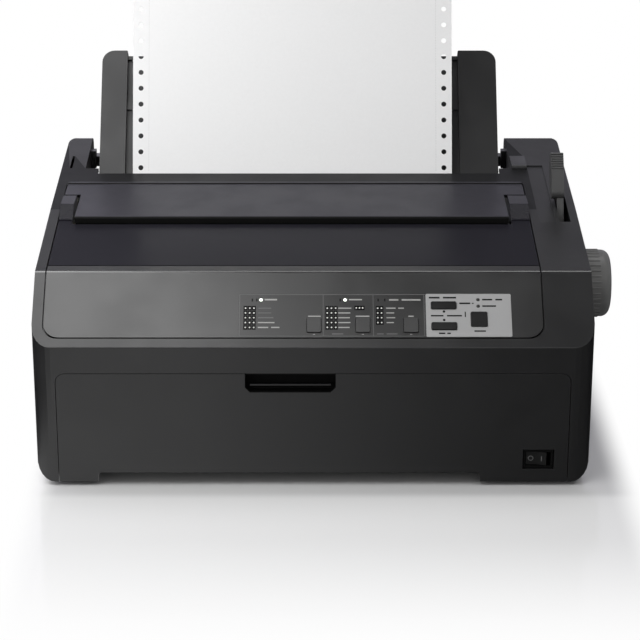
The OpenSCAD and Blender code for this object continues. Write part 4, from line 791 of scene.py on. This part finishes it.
# %% Lens finishes
GLOW_DARK, GLOW_LIGHT = (0.8, 0.85, 0.75), (0.95, 1.0, 0.9)
lens_lit, n, l, shader = blank("lens_lit")
l.new(two_tone(n, l, noise(n, l, 700, 1), GLOW_DARK, GLOW_LIGHT), shader.inputs["Base Color"])
l.new(ranged(n, l, noise(n, l, 900, 1), 0.2, 0.3), shader.inputs["Roughness"])
shader.inputs["Emission Color"].default_value = (0.9, 1.0, 0.85, 1)
shader.inputs["Emission Strength"].default_value = 1.3
lens_dark = moulded("lens_dark", (0.016, 0.015, 0.014), 0.3, grain=1.0, depth=0.000004)
print("a lit lens glows at", round(shader.inputs["Emission Strength"].default_value, 1))


# %% Indicator lenses
def lens(bm, x, s, radius=1.25, rise=0.35, steps=4, sides=20):
    turns = [k * math.pi / 2 / steps for k in range(steps)]
    rings = [ring(bm, x, s, radius * math.cos(a), FILM_N + rise * math.sin(a), sides) for a in turns]
    top = bm.verts.new(on_slope(x, s, FILM_N + rise))
    for lower, upper in zip(rings, rings[1:]):
        band(bm, lower, upper)
    for i in range(sides):
        bm.faces.new([rings[-1][i], rings[-1][(i + 1) % sides], top])
    bm.faces.new(rings[0][::-1])


indicators = [(-37.4, 38.4, lens_lit), (22.9, 38.4, lens_lit),
              (118.2, 38.6, lens_dark), (118.2, 33.4, lens_dark)]
for number, (x, s, finish) in enumerate(indicators, 1):
    piece = collect(f"lamp_lens_{number}", lambda bm: lens(bm, x, s), finish, "case")
    for f in piece.data.polygons:
        f.use_smooth = True

# %% [markdown]
# The mains rocker carries the two usual marks, a stroke for on and a ring for off, as pad print in
# the middle of each half. The halves slope away from each other, so each mark is laid on its own
# half with the rocker's tilt at rest.

# %% A place on the rocker
ROCKER_X, ROCKER_Y, ROCKER_Z = 161.8, 6.0, 20.7
ROCKER_TILT, HALF_SLOPE = math.radians(-7), math.radians(6.9)
HALF_MIDDLE, ROCKER_FACE, PAD_INK = 3.9, 4.18, 0.02


def on_rocker(u, v, half):
    """u along one half from its middle, v up, on the half's face; half is -1 left or 1 right."""
    middle = Vector((half * HALF_MIDDLE, -ROCKER_FACE - PAD_INK))
    along = Vector((math.cos(HALF_SLOPE), -half * math.sin(HALF_SLOPE)))
    p = middle + along * u
    c, s = math.cos(ROCKER_TILT), math.sin(ROCKER_TILT)
    return at(ROCKER_X + p.x * c - p.y * s, ROCKER_Y + p.x * s + p.y * c, ROCKER_Z + v)


# %% Rocker marks
STROKE_HALF, MARK_HALF, RING_INNER = 0.35, 2.0, 1.35


def stroke_mark(bm):
    corners = ((-STROKE_HALF, -MARK_HALF), (STROKE_HALF, -MARK_HALF), (STROKE_HALF, MARK_HALF),
               (-STROKE_HALF, MARK_HALF))
    bm.faces.new([bm.verts.new(on_rocker(u, v, 1)) for u, v in corners])


def ring_mark(bm, sides=28):
    turns = [2 * math.pi * i / sides for i in range(sides)]
    outer, inner = [[bm.verts.new(on_rocker(r * math.cos(a), r * math.sin(a), -1)) for a in turns]
                    for r in (MARK_HALF, RING_INNER)]
    band(bm, outer, inner)


collect("rocker_stroke", stroke_mark, ink_dim, "power_rocker")
collect("rocker_ring", ring_mark, ink_dim, "power_rocker")

# %% [markdown]
# Two pieces are too fine for the frame. A strip of black felt under the lip of the eject cover keeps
# paper dust out of the works, and is painted shade as well: it closes the gap behind the lip, which
# stays dark. The finger grip has a fine ridge, so that a nail finds it. Both are plain bars that show
# only a narrow face, so each is given by its span along X, Y and Z.

# %% Felt strip and grip ridge
def bar(bm, x, y, z):
    corners = [bm.verts.new(at(a, b, c)) for c in z for b in y for a in x]
    for face in BOX_FACES:
        bm.faces.new([corners[i] for i in face])


def felt_strip(bm):
    bar(bm, (-179.4, 147.0), (125.7, 127.2), (156.4, 160.2))


def nail_ridge(bm):
    bar(bm, (-45.2, 12.6), (1.6, 3.0), (77.6, 78.5))


# The strip is near black and barely mirrors: a felt seal, and painted shade for the gap behind the eject
# cover's lip.
felt_and_shade = moulded("black_felt_and_shade", (0.006, 0.006, 0.006), 0.95, grain=0.6, depth=0.0002, specular=0.05)
collect("dust_felt_and_shade", felt_strip, felt_and_shade, "case")
collect("grip_ridge", nail_ridge, charcoal, "front_cover")

# %% [markdown]
# Continuous paper has a hole strip down each side that tears off along a line of fine cuts. The cuts
# are laid on the free part of the sheet, so that part is measured first. Its front face is a run of
# facets that look the same way, and it is the largest such run that looks forward.

# %% Measure the free sheet
sheet_mesh = nodes["fanfold_paper"].data
sheet_place = nodes["fanfold_paper"].matrix_world
groups = {}
for f in sheet_mesh.polygons:
    lean = sheet_place.to_3x3() @ f.normal
    looks_forward = lean.y < -0.5 and lean.z > 0.05
    if looks_forward:
        groups.setdefault(tuple(round(v, 2) for v in lean), []).append(f)
facing = max(groups.values(), key=lambda g: sum(f.area for f in g))
forward = (sheet_place.to_3x3() @ facing[0].normal).normalized()
points = [sheet_place @ sheet_mesh.vertices[i].co for f in facing for i in f.vertices]
upward = Vector((1, 0, 0)).cross(forward).normalized()
upward *= 1 if upward.z > 0 else -1
foot = min(points, key=lambda q: q.dot(upward))
middle = (min(q.x for q in points) + max(q.x for q in points)) / 2
rise = max(q.dot(upward) for q in points) - foot.dot(upward)
print("free sheet:", round(rise * 1000, 1), "mm high, middle", round(middle * 1000, 1))

# %% [markdown]
# Each cut is a little over a millimetre long, with a slightly shorter bridge to the next. It is a
# thin grey face just in front of the sheet, painted shade for the dark of the slit, because a slit
# this fine would be lost in a mesh.

# %% Perforation lines
TEAR_LINE, CUT_RISE = 0.1143, 0.00002
CUT_PITCH, CUT_LENGTH, CUT_HALF_WIDTH = 0.00212, 0.00122, 0.00008


def cuts(bm):
    start = Vector((middle, foot.y, foot.z)) + forward * CUT_RISE
    wide = Vector((CUT_HALF_WIDTH, 0, 0))
    for side in (-TEAR_LINE, TEAR_LINE):
        for k in range(1, int(rise / CUT_PITCH)):
            low = start + upward * CUT_PITCH * k + Vector((side, 0, 0))
            high = low + upward * CUT_LENGTH
            bm.faces.new([bm.verts.new(v) for v in (low - wide, low + wide, high + wide, high - wide)])


# Painted shade: the grey of each cut stands for the dark inside the slit.
cut_shade = moulded("painted_cut_shade", (0.42, 0.42, 0.41), 0.85, grain=0.5, specular=0.1)
collect("perforation_cut_shade", cuts, cut_shade, body_of["fanfold_paper"])
